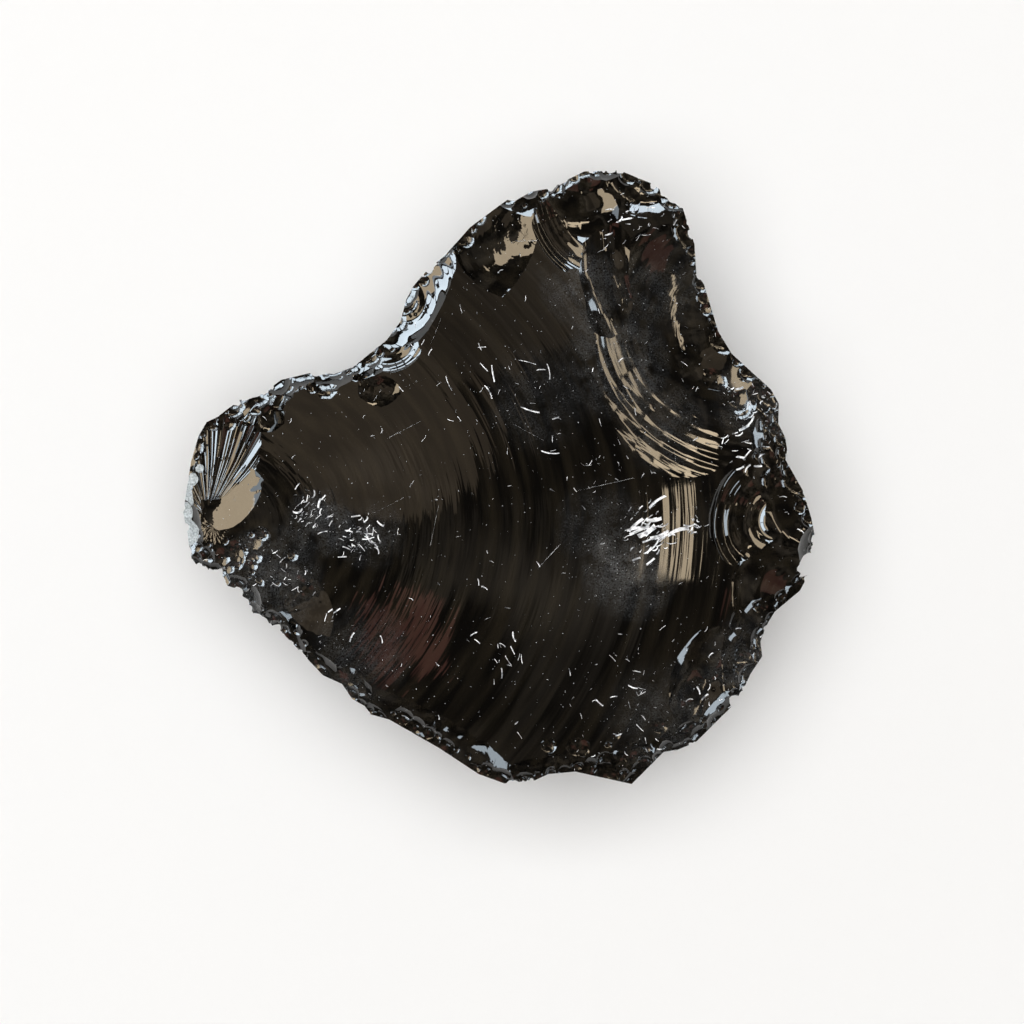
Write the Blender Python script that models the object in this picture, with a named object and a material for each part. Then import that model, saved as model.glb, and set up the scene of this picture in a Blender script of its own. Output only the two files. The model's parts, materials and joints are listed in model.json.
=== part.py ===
"""A hand-sized chunk of obsidian, volcanic glass, lying on its one flat facet.

The lump is shaped the way such a stone is: a blank with the lump's outline loses flakes.
Each flake leaves a scar, a shallow bowl whose ripples circle the point where the blow fell.
One big old face covers most of the top, and later scars cut into it from the rim.
"""

import math
import random
from typing import NamedTuple

import bmesh
import bpy
from mathutils import Matrix, Vector, noise

MM = 0.001

# The rim, seen from above, anticlockwise from the left end, in millimetres.
RIM = [
    (-48.7, -13.4), (-44.4, -16.3), (-43.0, -18.2), (-40.3, -19.1), (-38.3, -22.8), (-35.2, -23.7),
    (-27.9, -31.4), (-24.9, -32.8), (-23.3, -35.2), (-21.4, -36.3), (-20.3, -37.7), (-17.5, -38.5),
    (-9.7, -43.0), (-3.3, -47.2), (0.8, -48.7), (5.7, -48.2), (7.8, -47.2), (12.1, -46.8),
    (21.1, -48.8), (26.2, -43.7), (28.4, -43.4), (31.3, -42.2), (38.4, -35.2), (40.0, -31.4),
    (41.9, -28.5), (41.6, -26.1), (42.7, -23.3), (43.8, -21.4), (47.8, -18.0), (48.7, -16.3),
    (49.7, -12.6), (50.0, -9.0), (49.5, -6.4), (48.1, -2.0), (45.4, 2.8), (45.7, 4.3), (45.4, 6.3),
    (44.3, 8.5), (44.4, 11.7), (43.2, 13.9), (37.0, 19.6), (34.8, 23.2), (32.5, 30.7), (31.3, 32.3),
    (31.0, 37.0), (29.0, 43.1), (24.3, 46.6), (19.0, 48.8), (13.5, 48.6), (7.9, 45.9), (5.1, 45.5),
    (2.5, 44.0), (1.3, 44.2), (-4.6, 39.9), (-8.7, 35.3), (-11.6, 32.9), (-13.7, 30.4), (-14.8, 28.3),
    (-15.7, 24.8), (-17.9, 21.8), (-23.2, 17.5), (-26.2, 16.4), (-29.5, 16.7), (-34.6, 15.5),
    (-38.4, 12.8), (-41.3, 12.3), (-44.8, 9.6), (-46.5, 8.8), (-47.8, 6.6), (-49.0, 2.4),
    (-50.2, -5.5),
]
MIDDLE = Vector((3.9, -3.2))

# The blank, in millimetres: its top, its widest line, and how far each end is drawn in.
BLANK_TOP = 38.0
RIM_HEIGHT = 23.0
TOP_SHARE = 0.97
BASE_SHARE = 0.72
# The base outline is smoother than the rim: each point is averaged with this many on either side.
BASE_NEIGHBOURS = 5
# Waves of the widest line: how many round the rim, their height and where they start.
RIM_WAVES = ((2, 1.2, 0.7), (5, 0.8, 2.0))

# The big face: a low dome, and the height of its edge.
FACE_EDGE = 26.5
FACE_RISE = 4.6
FACE_HALF = 55.0
FACE_MIDDLE = Vector((6.0, 2.0))

# Ripples stand further apart the further they are from the blow, and swell and fade in turn.
PITCH_GROWTH = 0.05
RINGS_A_RIPPLE = 2
SWELL = 0.35
SWELL_PACE = 1.7
# A ring wanders off its circle by this share, and the floor is uneven by this share of its depth.
WANDER = 0.03
WANDER_LOBES = 3
UNEVEN = 0.22

# A cutter is wider than its bowl, and its lid is clear of the stone.
BOWL_MARGIN = 1.4
FLOOR_CLAMP = 12.0
LID_HEIGHT = 16.0
WELD = 1e-7

GLASS_COLOUR = (0.010, 0.009, 0.008, 1.0)
GLASS_ROUGHNESS = 0.08


class Scar(NamedTuple):
    """What a flake left: all lengths in millimetres, all angles in degrees."""

    name: str
    strike: tuple  # where the blow fell, seen from above
    heading: float  # the way the flake ran, from +X
    run: float  # from the blow to the middle of the bowl
    reach: float  # half of the bowl's length
    spread: float  # half of its width
    depth: float  # of the bowl's middle; below nought it is a dome
    sink: float = 0.0  # how far the bowl's edge lies under the big face
    dip: float = 0.0  # how far the bowl leans down the way the flake ran
    tilt: float = 0.0  # how far it leans down to the left of that way
    pitch: float = 3.2  # of the ripples near the blow
    ripple: float = 0.07  # their height
    hackle: float = 0.0  # depth of the rays, at the bowl's far end
    spokes: int = 13


class WallScar(NamedTuple):
    """A scar on the wall or underside, in the same units."""

    name: str
    strike: tuple  # where the blow fell, seen from above
    height: float  # of the blow
    heading: float  # the way the flake ran, seen from above
    slope: float  # from the level down to the way the flake ran
    run: float
    reach: float
    spread: float
    depth: float


# Ripples of the wall scars, which are broad.
WALL_PITCH = 6.4
WALL_RIPPLE = 0.20

FACE_SCAR = Scar(
    "big_face", (-45.1, -8.0), 10.0, 52.2, FACE_HALF, FACE_HALF, -FACE_RISE,
    sink=FACE_RISE, pitch=2.8, ripple=0.20, spokes=38,
)

TOP_SCARS = [
    # The right half: the long trough, the flute that feeds it, and the breaks along the right rim.
    Scar("right_trough", (38.6, 24.2), 185.0, 8.0, 15.0, 22.0, 4.2, pitch=2.8, ripple=0.20, spokes=26),
    Scar("top_flute", (49.9, 40.0), 199.0, 32.4, 6.2, 18.0, 2.6, pitch=3.0, ripple=0.14, spokes=32),
    Scar("top_hollow", (12.0, 49.6), 285.0, 6.6, 5.4, 5.0, 2.2, dip=-6.0),
    Scar("tongue", (17.3, 43.2), 262.0, 6.0, 7.0, 2.4, 0.9, pitch=4.0),
    Scar("top_corner", (23.2, 48.0), 256.0, 3.3, 4.2, 4.8, 1.6, dip=-14.0),
    Scar("crushed_a", (40.0, 19.0), 235.0, 3.4, 3.6, 4.6, 1.3, dip=-18.0),
    Scar("crushed_b", (44.5, 14.0), 205.0, 4.2, 3.8, 4.2, 1.6, dip=-22.0),
    Scar("crushed_c", (47.0, 7.0), 185.0, 4.0, 3.4, 4.0, 1.5, dip=-20.0),
    Scar("crushed_d", (46.5, 2.2), 160.0, 3.4, 3.0, 3.4, 1.2, dip=-16.0),
    Scar("right_lobe", (43.8, -6.8), 171.0, 4.9, 5.2, 7.2, 1.7, pitch=2.0, ripple=0.16, spokes=20),
    Scar("right_outer", (51.5, -3.0), 219.0, 7.0, 5.4, 7.0, 1.2, dip=-17.0, tilt=-6.0),
    Scar("right_corner", (49.5, -20.0), 163.0, 7.6, 7.4, 6.4, 1.1, dip=-13.0),
    Scar("lower_right_a", (45.5, -26.5), 172.0, 5.4, 4.6, 5.4, 1.9, dip=-22.0),
    Scar("lower_right_b", (43.0, -31.0), 170.0, 5.2, 4.2, 4.8, 1.6, dip=-18.0),
    Scar("lower_right_c", (37.0, -35.5), 158.0, 6.6, 4.4, 7.4, 1.0, dip=-9.0, ripple=0.02, spokes=23),
    Scar("lower_right_d", (39.5, -40.5), 142.0, 4.6, 4.8, 6.4, 1.6, dip=-25.0),
    Scar("lower_right_e", (30.0, -46.0), 118.0, 3.6, 3.8, 5.6, 1.3, dip=-24.0),
    Scar("lower_right_f", (21.5, -48.8), 104.0, 3.0, 3.8, 5.2, 1.4, dip=-22.0),
    # The upper left edge, from the top down to the left end.
    Scar("top_facet", (0.2, 43.2), 293.0, 6.6, 5.4, 7.0, 1.2, dip=-12.0, pitch=4.0, ripple=0.02),
    Scar("top_steps", (19.2, 45.6), 211.0, 12.7, 3.4, 6.6, 1.3, pitch=1.5, ripple=0.24, spokes=36),
    Scar("top_fan", (1.7, 45.8), 262.0, 2.6, 4.0, 4.4, 1.4, dip=-18.0, pitch=1.5, ripple=0.12),
    Scar("top_left_chip", (-5.4, 41.0), 310.0, 2.0, 2.6, 4.2, 0.9, dip=-28.0),
    Scar("small_chip", (-6.8, 37.6), 312.0, 2.2, 2.2, 2.8, 0.8, dip=-16.0),
    Scar("crescent", (-15.1, 28.1), 325.0, 3.6, 3.9, 8.6, 2.1, dip=-24.0, pitch=1.9, ripple=0.12, spokes=19),
    Scar("notch", (-17.6, 22.6), 261.0, 3.2, 3.7, 5.2, 1.7, dip=-16.0, pitch=1.7, ripple=0.12),
    Scar("notch_foot", (-19.4, 15.8), 262.0, 2.4, 2.5, 3.4, 0.8),
    Scar("left_shoulder", (-37.6, 13.4), 315.0, 1.8, 2.0, 6.4, 1.0, dip=-34.0, spokes=17),
    Scar("left_shoulder_chip", (-42.0, 12.4), 312.0, 1.6, 2.4, 3.2, 1.1, dip=-30.0),
    Scar(
        "hackle_fan", (-46.3, -6.0), 66.0, 8.8, 10.2, 6.8, 1.4,
        tilt=8.0, pitch=6.0, ripple=0.05, hackle=0.5, spokes=32,
    ),
    Scar("left_end", (-51.0, -5.8), 355.0, 1.8, 2.0, 9.0, 0.7, dip=-46.0),
    # The lower edge: a smooth bevel, a broken step, and a shallow inner scar.
    Scar("lower_bevel", (-11.6, -44.2), 62.6, 2.6, 4.4, 13.0, 1.8, dip=-26.0, pitch=4.0, ripple=0.02),
    Scar("lower_notch", (10.5, -48.6), 90.0, 2.4, 3.0, 5.8, 1.2, dip=-28.0, ripple=0.02),
    Scar("inner_scar", (-35.2, -22.0), 40.0, 4.0, 3.6, 2.5, 0.6, spokes=12),
]

# The thin broken ledge along the lower left rim, one bite for each of these points.
LEDGE_POINTS = [
    (-46.6, -16.6), (-41.8, -20.4), (-37.6, -24.6), (-32.6, -28.6), (-28.0, -33.4), (-22.8, -38.2),
]
LEDGE_HEADING = 48.0

WALL_SCARS = [
    # Twelve struck just under the rim, anticlockwise from the left end, then three under the base.
    WallScar("wall_left", (-50.0, -5.0), 22.0, 5.0, 34.0, 15.0, 19.0, 16.0, 3.8),
    WallScar("wall_lower_left", (-38.0, -23.0), 23.0, 45.0, 52.0, 13.0, 17.0, 18.0, 3.6),
    WallScar("wall_lower", (-15.0, -40.5), 22.0, 65.0, 46.0, 14.0, 18.0, 18.0, 3.8),
    WallScar("wall_bottom", (9.0, -48.0), 23.0, 95.0, 52.0, 14.0, 17.0, 16.0, 3.6),
    WallScar("wall_lower_right", (33.0, -40.5), 22.0, 130.0, 46.0, 14.0, 18.0, 18.0, 3.8),
    WallScar("wall_right", (49.0, -13.0), 23.0, 175.0, 53.0, 13.0, 17.0, 16.0, 3.6),
    WallScar("wall_upper_right", (43.5, 13.0), 22.0, 205.0, 48.0, 13.0, 17.0, 16.0, 3.6),
    WallScar("wall_top_right", (31.0, 37.0), 23.0, 235.0, 54.0, 13.0, 17.0, 15.0, 3.4),
    WallScar("wall_top", (9.0, 46.5), 22.0, 280.0, 44.0, 15.0, 19.0, 16.0, 3.8),
    WallScar("wall_upper_left", (-12.0, 33.0), 23.0, 325.0, 58.0, 12.0, 16.0, 16.0, 3.4),
    WallScar("wall_notch", (-24.0, 17.5), 22.0, 300.0, 63.0, 12.0, 16.0, 14.0, 3.4),
    WallScar("wall_shoulder", (-43.0, 11.0), 22.0, 298.0, 50.0, 13.0, 17.0, 14.0, 3.4),
    WallScar("under_left", (-32.0, -6.0), 7.0, 10.0, 19.0, 12.0, 18.0, 16.0, 3.4),
    WallScar("under_right", (36.0, -22.0), 6.5, 150.0, 16.0, 12.0, 17.0, 17.0, 2.4),
    WallScar("under_top", (16.0, 32.0), 6.5, 262.0, 15.0, 12.0, 17.0, 14.0, 2.4),
]

# Chips along the top of the rim, one for each step round the outline. Each pair is a least and a most.
CHIP_SEED = 11
CHIP_STEP = 5.6
CHIP_REACH = (1.3, 2.9)
CHIP_WIDTH = (1.0, 1.7)  # of the reach
CHIP_DEPTH = (0.5, 1.2)
CHIP_SINK = (0.2, 1.2)
CHIP_LEAN = (22.0, 48.0)
CHIP_SWING = (-20.0, 20.0)
CHIP_RUN = 0.3  # of the reach



def clear_scene():
    for obj in list(bpy.data.objects):
        bpy.data.objects.remove(obj, do_unlink=True)


def new_collection(name, parent, hidden=False):
    group = bpy.data.collections.new(name)
    group.hide_render = hidden
    parent.children.link(group)
    return group


def glass_material():
    glass = bpy.data.materials.new("obsidian_glass")
    glass.use_nodes = True
    shader = glass.node_tree.nodes["Principled BSDF"]
    shader.inputs["Base Color"].default_value = GLASS_COLOUR
    shader.inputs["Roughness"].default_value = GLASS_ROUGHNESS
    shader.inputs["Metallic"].default_value = 0.0
    return glass


def solid_object(name, bm, group, glass):
    bmesh.ops.recalc_face_normals(bm, faces=bm.faces[:])
    mesh = bpy.data.meshes.new(name)
    bm.to_mesh(mesh)
    bm.free()
    mesh.materials.append(glass)
    solid = bpy.data.objects.new(name, mesh)
    group.objects.link(solid)
    return solid


def face_height(x, y):
    """The big face's height over a point, its ripples left out."""
    across = (Vector((x, y)) - FACE_MIDDLE).length / FACE_HALF
    return FACE_EDGE + FACE_RISE * (1.0 - across * across)


def rim_height(point):
    """The widest line wanders up and down as it goes round."""
    turn = math.atan2(point[1] - MIDDLE.y, point[0] - MIDDLE.x)
    return RIM_HEIGHT + sum(height * math.sin(lobes * turn + start) for lobes, height, start in RIM_WAVES)


def drawn_in(point, share, height):
    """A rim point drawn in towards the middle, in metres."""
    flat = MIDDLE + (Vector(point) - MIDDLE) * share
    return Vector((flat.x, flat.y, height)) * MM


def base_point(number):
    """The rim point of this number, averaged with its neighbours."""
    near = range(number - BASE_NEIGHBOURS, number + BASE_NEIGHBOURS + 1)
    return sum((Vector(RIM[other % len(RIM)]) for other in near), Vector((0.0, 0.0))) / len(near)


def make_blank(group, glass):
    """The base outline, grown up to the widest line and then to the top."""
    bm = bmesh.new()
    place = bm.verts.layers.int.new("place")
    for number in range(len(RIM)):
        bm.verts.new(drawn_in(base_point(number), BASE_SHARE, 0.0))[place] = number
    face = bm.faces.new(bm.verts)
    for share, height_of in ((1.0, rim_height), (TOP_SHARE, lambda point: BLANK_TOP)):
        grown = bmesh.ops.extrude_face_region(bm, geom=[face, *face.edges])["geom"]
        face = next(item for item in grown if isinstance(item, bmesh.types.BMFace))
        for vert in face.verts:
            point = RIM[vert[place]]
            vert.co = drawn_in(point, share, height_of(point))
    return solid_object("obsidian_chunk", bm, group, glass)


def ripple_radius(number, pitch):
    """How far from the blow the ripple of this number runs."""
    return pitch / PITCH_GROWTH * (math.exp(PITCH_GROWTH * number) - 1.0)


def ripple_number(radius, pitch):
    return math.log(1.0 + PITCH_GROWTH * radius / pitch) / PITCH_GROWTH


def scar_floor(scar, number, spoke, along, across):
    """The floor's height over the scar's own plane: the bowl, its ripples and its rays."""
    bowl = scar.depth * ((along / scar.reach) ** 2 + (across / scar.spread) ** 2 - 1.0)
    seat = Vector((along / scar.reach, across / scar.reach, scar.heading))
    bowl += UNEVEN * abs(scar.depth) * noise.noise(seat)
    swell = 1.0 - SWELL + SWELL * math.sin(SWELL_PACE * number)
    rings = scar.ripple * swell * math.cos(2.0 * math.pi * number)
    rays = scar.hackle * math.hypot(along + scar.run, across) / scar.reach * (spoke % 2)
    return min(bowl + rings - rays, FLOOR_CLAMP)


def spoke_turn(side):
    """The angle of a spoke, from -1 to 1 across the scar: they crowd round the heading."""
    return math.pi * side * (1.0 + side * side) / 2.0


def scar_cutter(scar, matrix, group, glass):
    """What the flake took: a disc of rings about the blow, closed by a lid above."""
    outer = scar.run + BOWL_MARGIN * max(scar.reach, scar.spread)
    rings = math.ceil(RINGS_A_RIPPLE * ripple_number(outer, scar.pitch))
    bm = bmesh.new()
    bmesh.ops.create_grid(bm, x_segments=rings, y_segments=scar.spokes, size=1.0)
    for vert in bm.verts:
        number = (vert.co.x + 1.0) / 2.0 * rings / RINGS_A_RIPPLE
        side = vert.co.y
        turn = spoke_turn(side)
        wander = 1.0 + WANDER * math.sin(WANDER_LOBES * turn + scar.run) * (1.0 - side * side)
        radius = ripple_radius(number, scar.pitch) * wander
        along = radius * math.cos(turn) - scar.run
        across = radius * math.sin(turn)
        spoke = round((side + 1.0) / 2.0 * scar.spokes)
        vert.co = Vector((along, across, scar_floor(scar, number, spoke, along, across))) * MM
    bmesh.ops.remove_doubles(bm, verts=bm.verts, dist=WELD)
    close_with_lid(bm)
    cutter = solid_object(scar.name, bm, group, glass)
    cutter.matrix_world = matrix
    cutter.display_type = "WIRE"
    cutter.hide_render = True


def close_with_lid(bm):
    """The disc's border is drawn straight up and filled."""
    border = [edge for edge in bm.edges if edge.is_boundary]
    grown = bmesh.ops.extrude_edge_only(bm, edges=border)["geom"]
    for item in grown:
        if isinstance(item, bmesh.types.BMVert):
            item.co.z = LID_HEIGHT * MM
    lip = [item for item in grown if isinstance(item, bmesh.types.BMEdge)]
    bmesh.ops.edgeloop_fill(bm, edges=lip)


def turned(heading, dip, roll):
    """A frame whose +X is the way the flake ran and whose +Z points out of the stone."""
    yaw = Matrix.Rotation(math.radians(heading), 4, "Z")
    pitch = Matrix.Rotation(math.radians(dip), 4, "Y")
    return yaw @ pitch @ Matrix.Rotation(math.radians(roll), 4, "X")


def top_matrix(scar):
    """The bowl's middle lies on the big face, its plane leaning as the scar says."""
    heading = math.radians(scar.heading)
    x = scar.strike[0] + scar.run * math.cos(heading)
    y = scar.strike[1] + scar.run * math.sin(heading)
    place = Vector((x, y, face_height(x, y) - scar.sink)) * MM
    return Matrix.Translation(place) @ turned(scar.heading, scar.dip, -scar.tilt)


def wall_matrix(wall):
    """The same for a wall scar, which is turned over so that it opens outwards and down."""
    frame = turned(wall.heading, wall.slope, 180.0)
    middle = Vector((*wall.strike, wall.height)) + frame.to_3x3() @ Vector((wall.run, 0.0, 0.0))
    return Matrix.Translation(middle * MM) @ frame


def wall_scar(wall):
    return Scar(
        wall.name, wall.strike, wall.heading, wall.run, wall.reach, wall.spread, wall.depth,
        pitch=WALL_PITCH, ripple=WALL_RIPPLE, spokes=12,
    )


def ledge_scar(number, point):
    return Scar(
        f"ledge_{number}", point, LEDGE_HEADING, 1.4, 2.5, 4.2, 0.9,
        dip=-28.0, ripple=0.03, spokes=11,
    )


def outline_walk(step):
    """Points at even steps round the rim, each with the heading straight in from it."""
    carried = 0.0
    for here, after in zip(RIM, RIM[1:] + RIM[:1]):
        start = Vector(here)
        side = Vector(after) - start
        inward = math.degrees(math.atan2(side.y, side.x)) + 90.0
        while carried < side.length:
            yield start + side.normalized() * carried, inward
            carried += step
        carried -= side.length


def rim_chip(number, point, inward, draw):
    """A small bite out of the rim, leaning out over it."""
    reach = draw.uniform(*CHIP_REACH)
    return Scar(
        f"rim_chip_{number:02d}", tuple(point), inward + draw.uniform(*CHIP_SWING), CHIP_RUN * reach,
        reach, reach * draw.uniform(*CHIP_WIDTH), draw.uniform(*CHIP_DEPTH),
        sink=draw.uniform(*CHIP_SINK), dip=-draw.uniform(*CHIP_LEAN), pitch=2.0 * reach, ripple=0.0, spokes=8,
    )


def flake_groups():
    """Each group of scars, with the way to place them, in the order in which the flakes came off."""
    draw = random.Random(CHIP_SEED)
    ledge = [ledge_scar(number, point) for number, point in enumerate(LEDGE_POINTS)]
    chips = [rim_chip(number, *step, draw) for number, step in enumerate(outline_walk(CHIP_STEP))]
    walls = [(wall_scar(wall), wall_matrix(wall)) for wall in WALL_SCARS]
    return {
        "face_flake": [(FACE_SCAR, top_matrix(FACE_SCAR))],
        "top_flakes": [(scar, top_matrix(scar)) for scar in TOP_SCARS + ledge],
        "wall_flakes": walls,
        "rim_flakes": [(chip, top_matrix(chip)) for chip in chips],
    }


def cut_away(chunk, flakes):
    cut = chunk.modifiers.new(flakes.name, "BOOLEAN")
    cut.operation = "DIFFERENCE"
    cut.solver = "EXACT"
    cut.operand_type = "COLLECTION"
    cut.collection = flakes


def main():
    clear_scene()
    glass = glass_material()
    scene_root = bpy.context.scene.collection
    chunk = make_blank(new_collection("obsidian", scene_root), glass)
    cutters = new_collection("cutters", scene_root, hidden=True)
    for name, scars in flake_groups().items():
        flakes = new_collection(name, cutters, hidden=True)
        for scar, matrix in scars:
            scar_cutter(scar, matrix, flakes, glass)
        cut_away(chunk, flakes)


main()
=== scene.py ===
# %% [markdown]
# # A chunk of obsidian
#
# This notebook dresses one hand-sized lump of black volcanic glass. The real thing is a single
# piece of natural glass, broken out of a larger block. Everything that the eye sees on it is either
# a scar where a flake flew off, or the world mirrored in that scar. So the lesson has three parts:
# the scars are cut at full fineness, the glass gets its finish, and the lights are set so that the
# right things are mirrored.
#
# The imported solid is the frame. It gives the true size and place, and nothing here moves it.

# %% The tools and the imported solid
import json
import math
import random
from typing import NamedTuple

import bmesh
import bpy
from mathutils import Matrix, Vector, noise
from mathutils.bvhtree import BVHTree

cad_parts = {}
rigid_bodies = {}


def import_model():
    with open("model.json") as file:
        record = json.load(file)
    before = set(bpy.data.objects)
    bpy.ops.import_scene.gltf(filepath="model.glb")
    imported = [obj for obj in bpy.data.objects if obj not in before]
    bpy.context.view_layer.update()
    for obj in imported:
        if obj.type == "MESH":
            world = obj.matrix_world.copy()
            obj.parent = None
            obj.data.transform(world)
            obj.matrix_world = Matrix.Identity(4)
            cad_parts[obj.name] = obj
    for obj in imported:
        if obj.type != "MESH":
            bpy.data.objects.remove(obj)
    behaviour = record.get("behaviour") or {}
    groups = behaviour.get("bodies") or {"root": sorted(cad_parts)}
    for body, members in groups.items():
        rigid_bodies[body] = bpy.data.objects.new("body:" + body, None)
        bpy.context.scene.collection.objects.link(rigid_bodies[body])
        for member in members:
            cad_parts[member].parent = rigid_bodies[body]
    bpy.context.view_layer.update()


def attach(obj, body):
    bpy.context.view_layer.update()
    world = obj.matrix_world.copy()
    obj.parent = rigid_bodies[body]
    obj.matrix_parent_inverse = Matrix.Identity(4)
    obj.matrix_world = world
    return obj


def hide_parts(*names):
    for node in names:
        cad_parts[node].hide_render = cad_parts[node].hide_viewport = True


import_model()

MM = 0.001
NODE = "obsidian_chunk"

# %% [markdown]
# ## The camera
#
# The stone is looked at from straight above, square on to its big face, about as far away as a hand
# is held from the eyes. A long lens keeps the outline true.

# %% Camera
LENS = 100.0
SENSOR = 36.0
VIEW_WIDTH = 162.5
RIM_LEVEL = 24.0
LOOK_AT = (2.06, -5.5)

camera = bpy.data.objects.new("camera", bpy.data.cameras.new("camera"))
camera.data.lens = LENS
camera.data.sensor_width = SENSOR
camera_height = RIM_LEVEL + VIEW_WIDTH * LENS / SENSOR
camera.location = Vector((*LOOK_AT, camera_height)) * MM
camera.data.clip_start = 0.01
camera.data.clip_end = 50.0
bpy.context.scene.collection.objects.link(camera)
bpy.context.scene.camera = camera
bpy.context.scene.view_settings.view_transform = "Standard"
print("the camera is", round(camera_height), "mm up")

# %% [markdown]
# ## Writing formulas as nodes
#
# The shapes and the finish both follow formulas. A formula in a node tree is a long chain of Math
# nodes, which is hard to read when it is written node by node. `Field` wraps a socket, so that
# plain Python sums add the nodes: `a * b + 1` makes one Multiply and one Add.

# %% A field: a value on its way through a node tree
class Field:
    """A socket that sums, products and the like turn into Math nodes."""

    def __init__(self, tree, socket):
        self.tree = tree
        self.socket = socket

    def maths(self, operation, *others, clamp=False):
        node = self.tree.nodes.new("ShaderNodeMath")
        node.operation = operation
        node.use_clamp = clamp
        for socket, value in zip(node.inputs, (self, *others)):
            feed(self.tree, socket, value)
        return Field(self.tree, node.outputs[0])

    def __add__(self, other):
        return self.maths("ADD", other)

    def __radd__(self, other):
        return self.maths("ADD", other)

    def __sub__(self, other):
        return self.maths("SUBTRACT", other)

    def __rsub__(self, other):
        return self.maths("MULTIPLY_ADD", -1.0, other)

    def __mul__(self, other):
        return self.maths("MULTIPLY", other)

    def __rmul__(self, other):
        return self.maths("MULTIPLY", other)

    def __truediv__(self, other):
        return self.maths("DIVIDE", other)

    def __neg__(self):
        return self.maths("MULTIPLY", -1.0)


def feed(tree, socket, value):
    """Links a field into a socket, or sets the socket to a plain value."""
    if isinstance(value, Field):
        tree.links.new(value.socket, socket)
    elif value is not None:
        socket.default_value = value


def add_node(tree, kind, inputs=None, **settings):
    """A node with its settings made and its sockets fed, by name or by number."""
    node = tree.nodes.new(kind)
    for name, value in settings.items():
        setattr(node, name, value)
    for name, value in (inputs or {}).items():
        feed(tree, node.inputs[name], value)
    return node


def out(node, socket=0):
    return Field(node.id_data, node.outputs[socket])


def combine(tree, x, y, z=0.0):
    return out(add_node(tree, "ShaderNodeCombineXYZ", {0: x, 1: y, 2: z}))


def split(tree, vector):
    node = add_node(tree, "ShaderNodeSeparateXYZ", {0: vector})
    return [out(node, number) for number in range(3)]


print("formulas are ready")

# %% [markdown]
# ## One flake scar
#
# Glass breaks in shells. A blow sends a crack out in widening rings, and the flake that drops off
# leaves a shallow bowl. Its floor keeps the rings as ripples, wider apart the further they are from
# the blow, and fine rays that point back at it. Every scar on this stone is that one shape at
# another size, so it is made once, as a Geometry Nodes tree with named inputs.
#
# The tree bends a flat grid round the blow: one side of the grid becomes the distance and the other
# the angle. The floor's height is a formula of those two. Two more rows are added past the last
# ring, one straight up and one drawn in to a point, so that the flake is a closed body that a
# Boolean can take away. The distance and angle are kept as a UV map, so that the finish can follow
# the same rings later.

# %% What all scars share
PITCH_GROWTH = 0.05
SWELL = 0.35
SWELL_PACE = 1.7
WANDER = 0.03
WANDER_LOBES = 3
UNEVEN = 0.22
BOWL_MARGIN = 1.4
FLOOR_CLAMP = 12.0
LID_HEIGHT = 16.0
WELD = 1e-7
FINE_PACE = 4.2
FINE_LOBES = 1.8
FINE_LEAST = 0.15
RAY_DRIFT = 0.12
print("the ripples widen by", PITCH_GROWTH, "of their pitch at each ring")

# %% The flake scar tree
FLAKE_SIZES = (
    "Outer", "Run", "Reach", "Spread", "Depth", "Pitch", "Ripple", "Late", "Hackle", "Fine", "Rays",
    "Calm", "Fade", "Seed",
)


def flake_inputs(tree):
    for name in ("Rings", "Spokes"):
        tree.interface.new_socket(name, in_out="INPUT", socket_type="NodeSocketInt")
    for name in FLAKE_SIZES:
        tree.interface.new_socket(name, in_out="INPUT", socket_type="NodeSocketFloat")
    tree.interface.new_socket("Material", in_out="INPUT", socket_type="NodeSocketMaterial")
    tree.interface.new_socket("Geometry", in_out="OUTPUT", socket_type="NodeSocketGeometry")
    given = tree.nodes.new("NodeGroupInput")
    return {socket.name: Field(tree, socket) for socket in given.outputs if socket.name}


def noise_field(tree, scale, *place, detail=1.0):
    """Soft random heights from 0 to 1."""
    seat = combine(tree, *place)
    node = add_node(
        tree, "ShaderNodeTexNoise", {"Vector": seat, "Scale": scale, "Detail": detail}, noise_dimensions="3D",
    )
    return out(node)


def floor_field(tree, given, number, turn, radius, along, across):
    """The floor's height over the scar's own plane, in millimetres."""
    reach = given["Reach"]
    bowl = given["Depth"] * (
        (along / reach).maths("POWER", 2.0) + (across / given["Spread"]).maths("POWER", 2.0) - 1.0
    )
    swell = (number * SWELL_PACE).maths("SINE") * SWELL + (1.0 - SWELL)
    # Near the blow the glass can be calm; the late ripples rise past that stretch.
    rise = ((radius - given["Calm"]) / given["Fade"]).maths("ADD", 1.0, clamp=True)
    rings = (given["Ripple"] + given["Late"] * rise) * swell * (number * math.tau).maths("COSINE")
    # Angles enter the noise as a sine and a cosine, so that both sides of the grid's seam agree.
    ahead = turn.maths("COSINE")
    aside = turn.maths("SINE")
    # Fine ripples come and go along each ring, and die out at the blow itself.
    pace = number * FINE_PACE + given["Seed"]
    fine = noise_field(tree, 1.0, pace, ahead * FINE_LOBES, aside * FINE_LOBES, detail=2.0) - 0.5
    fine = fine * radius.maths("MINIMUM", 1.0) * rise.maths("MAXIMUM", FINE_LEAST)
    # Rays: grooves that run out from the blow and deepen as they go.
    spin = given["Rays"]
    ray = noise_field(tree, 1.0, ahead * spin, aside * spin, number * RAY_DRIFT + given["Seed"]) - 0.5
    rays = given["Hackle"] * (radius / reach) * ray
    return (bowl + rings + given["Fine"] * fine - rays).maths("MINIMUM", FLOOR_CLAMP)


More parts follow.
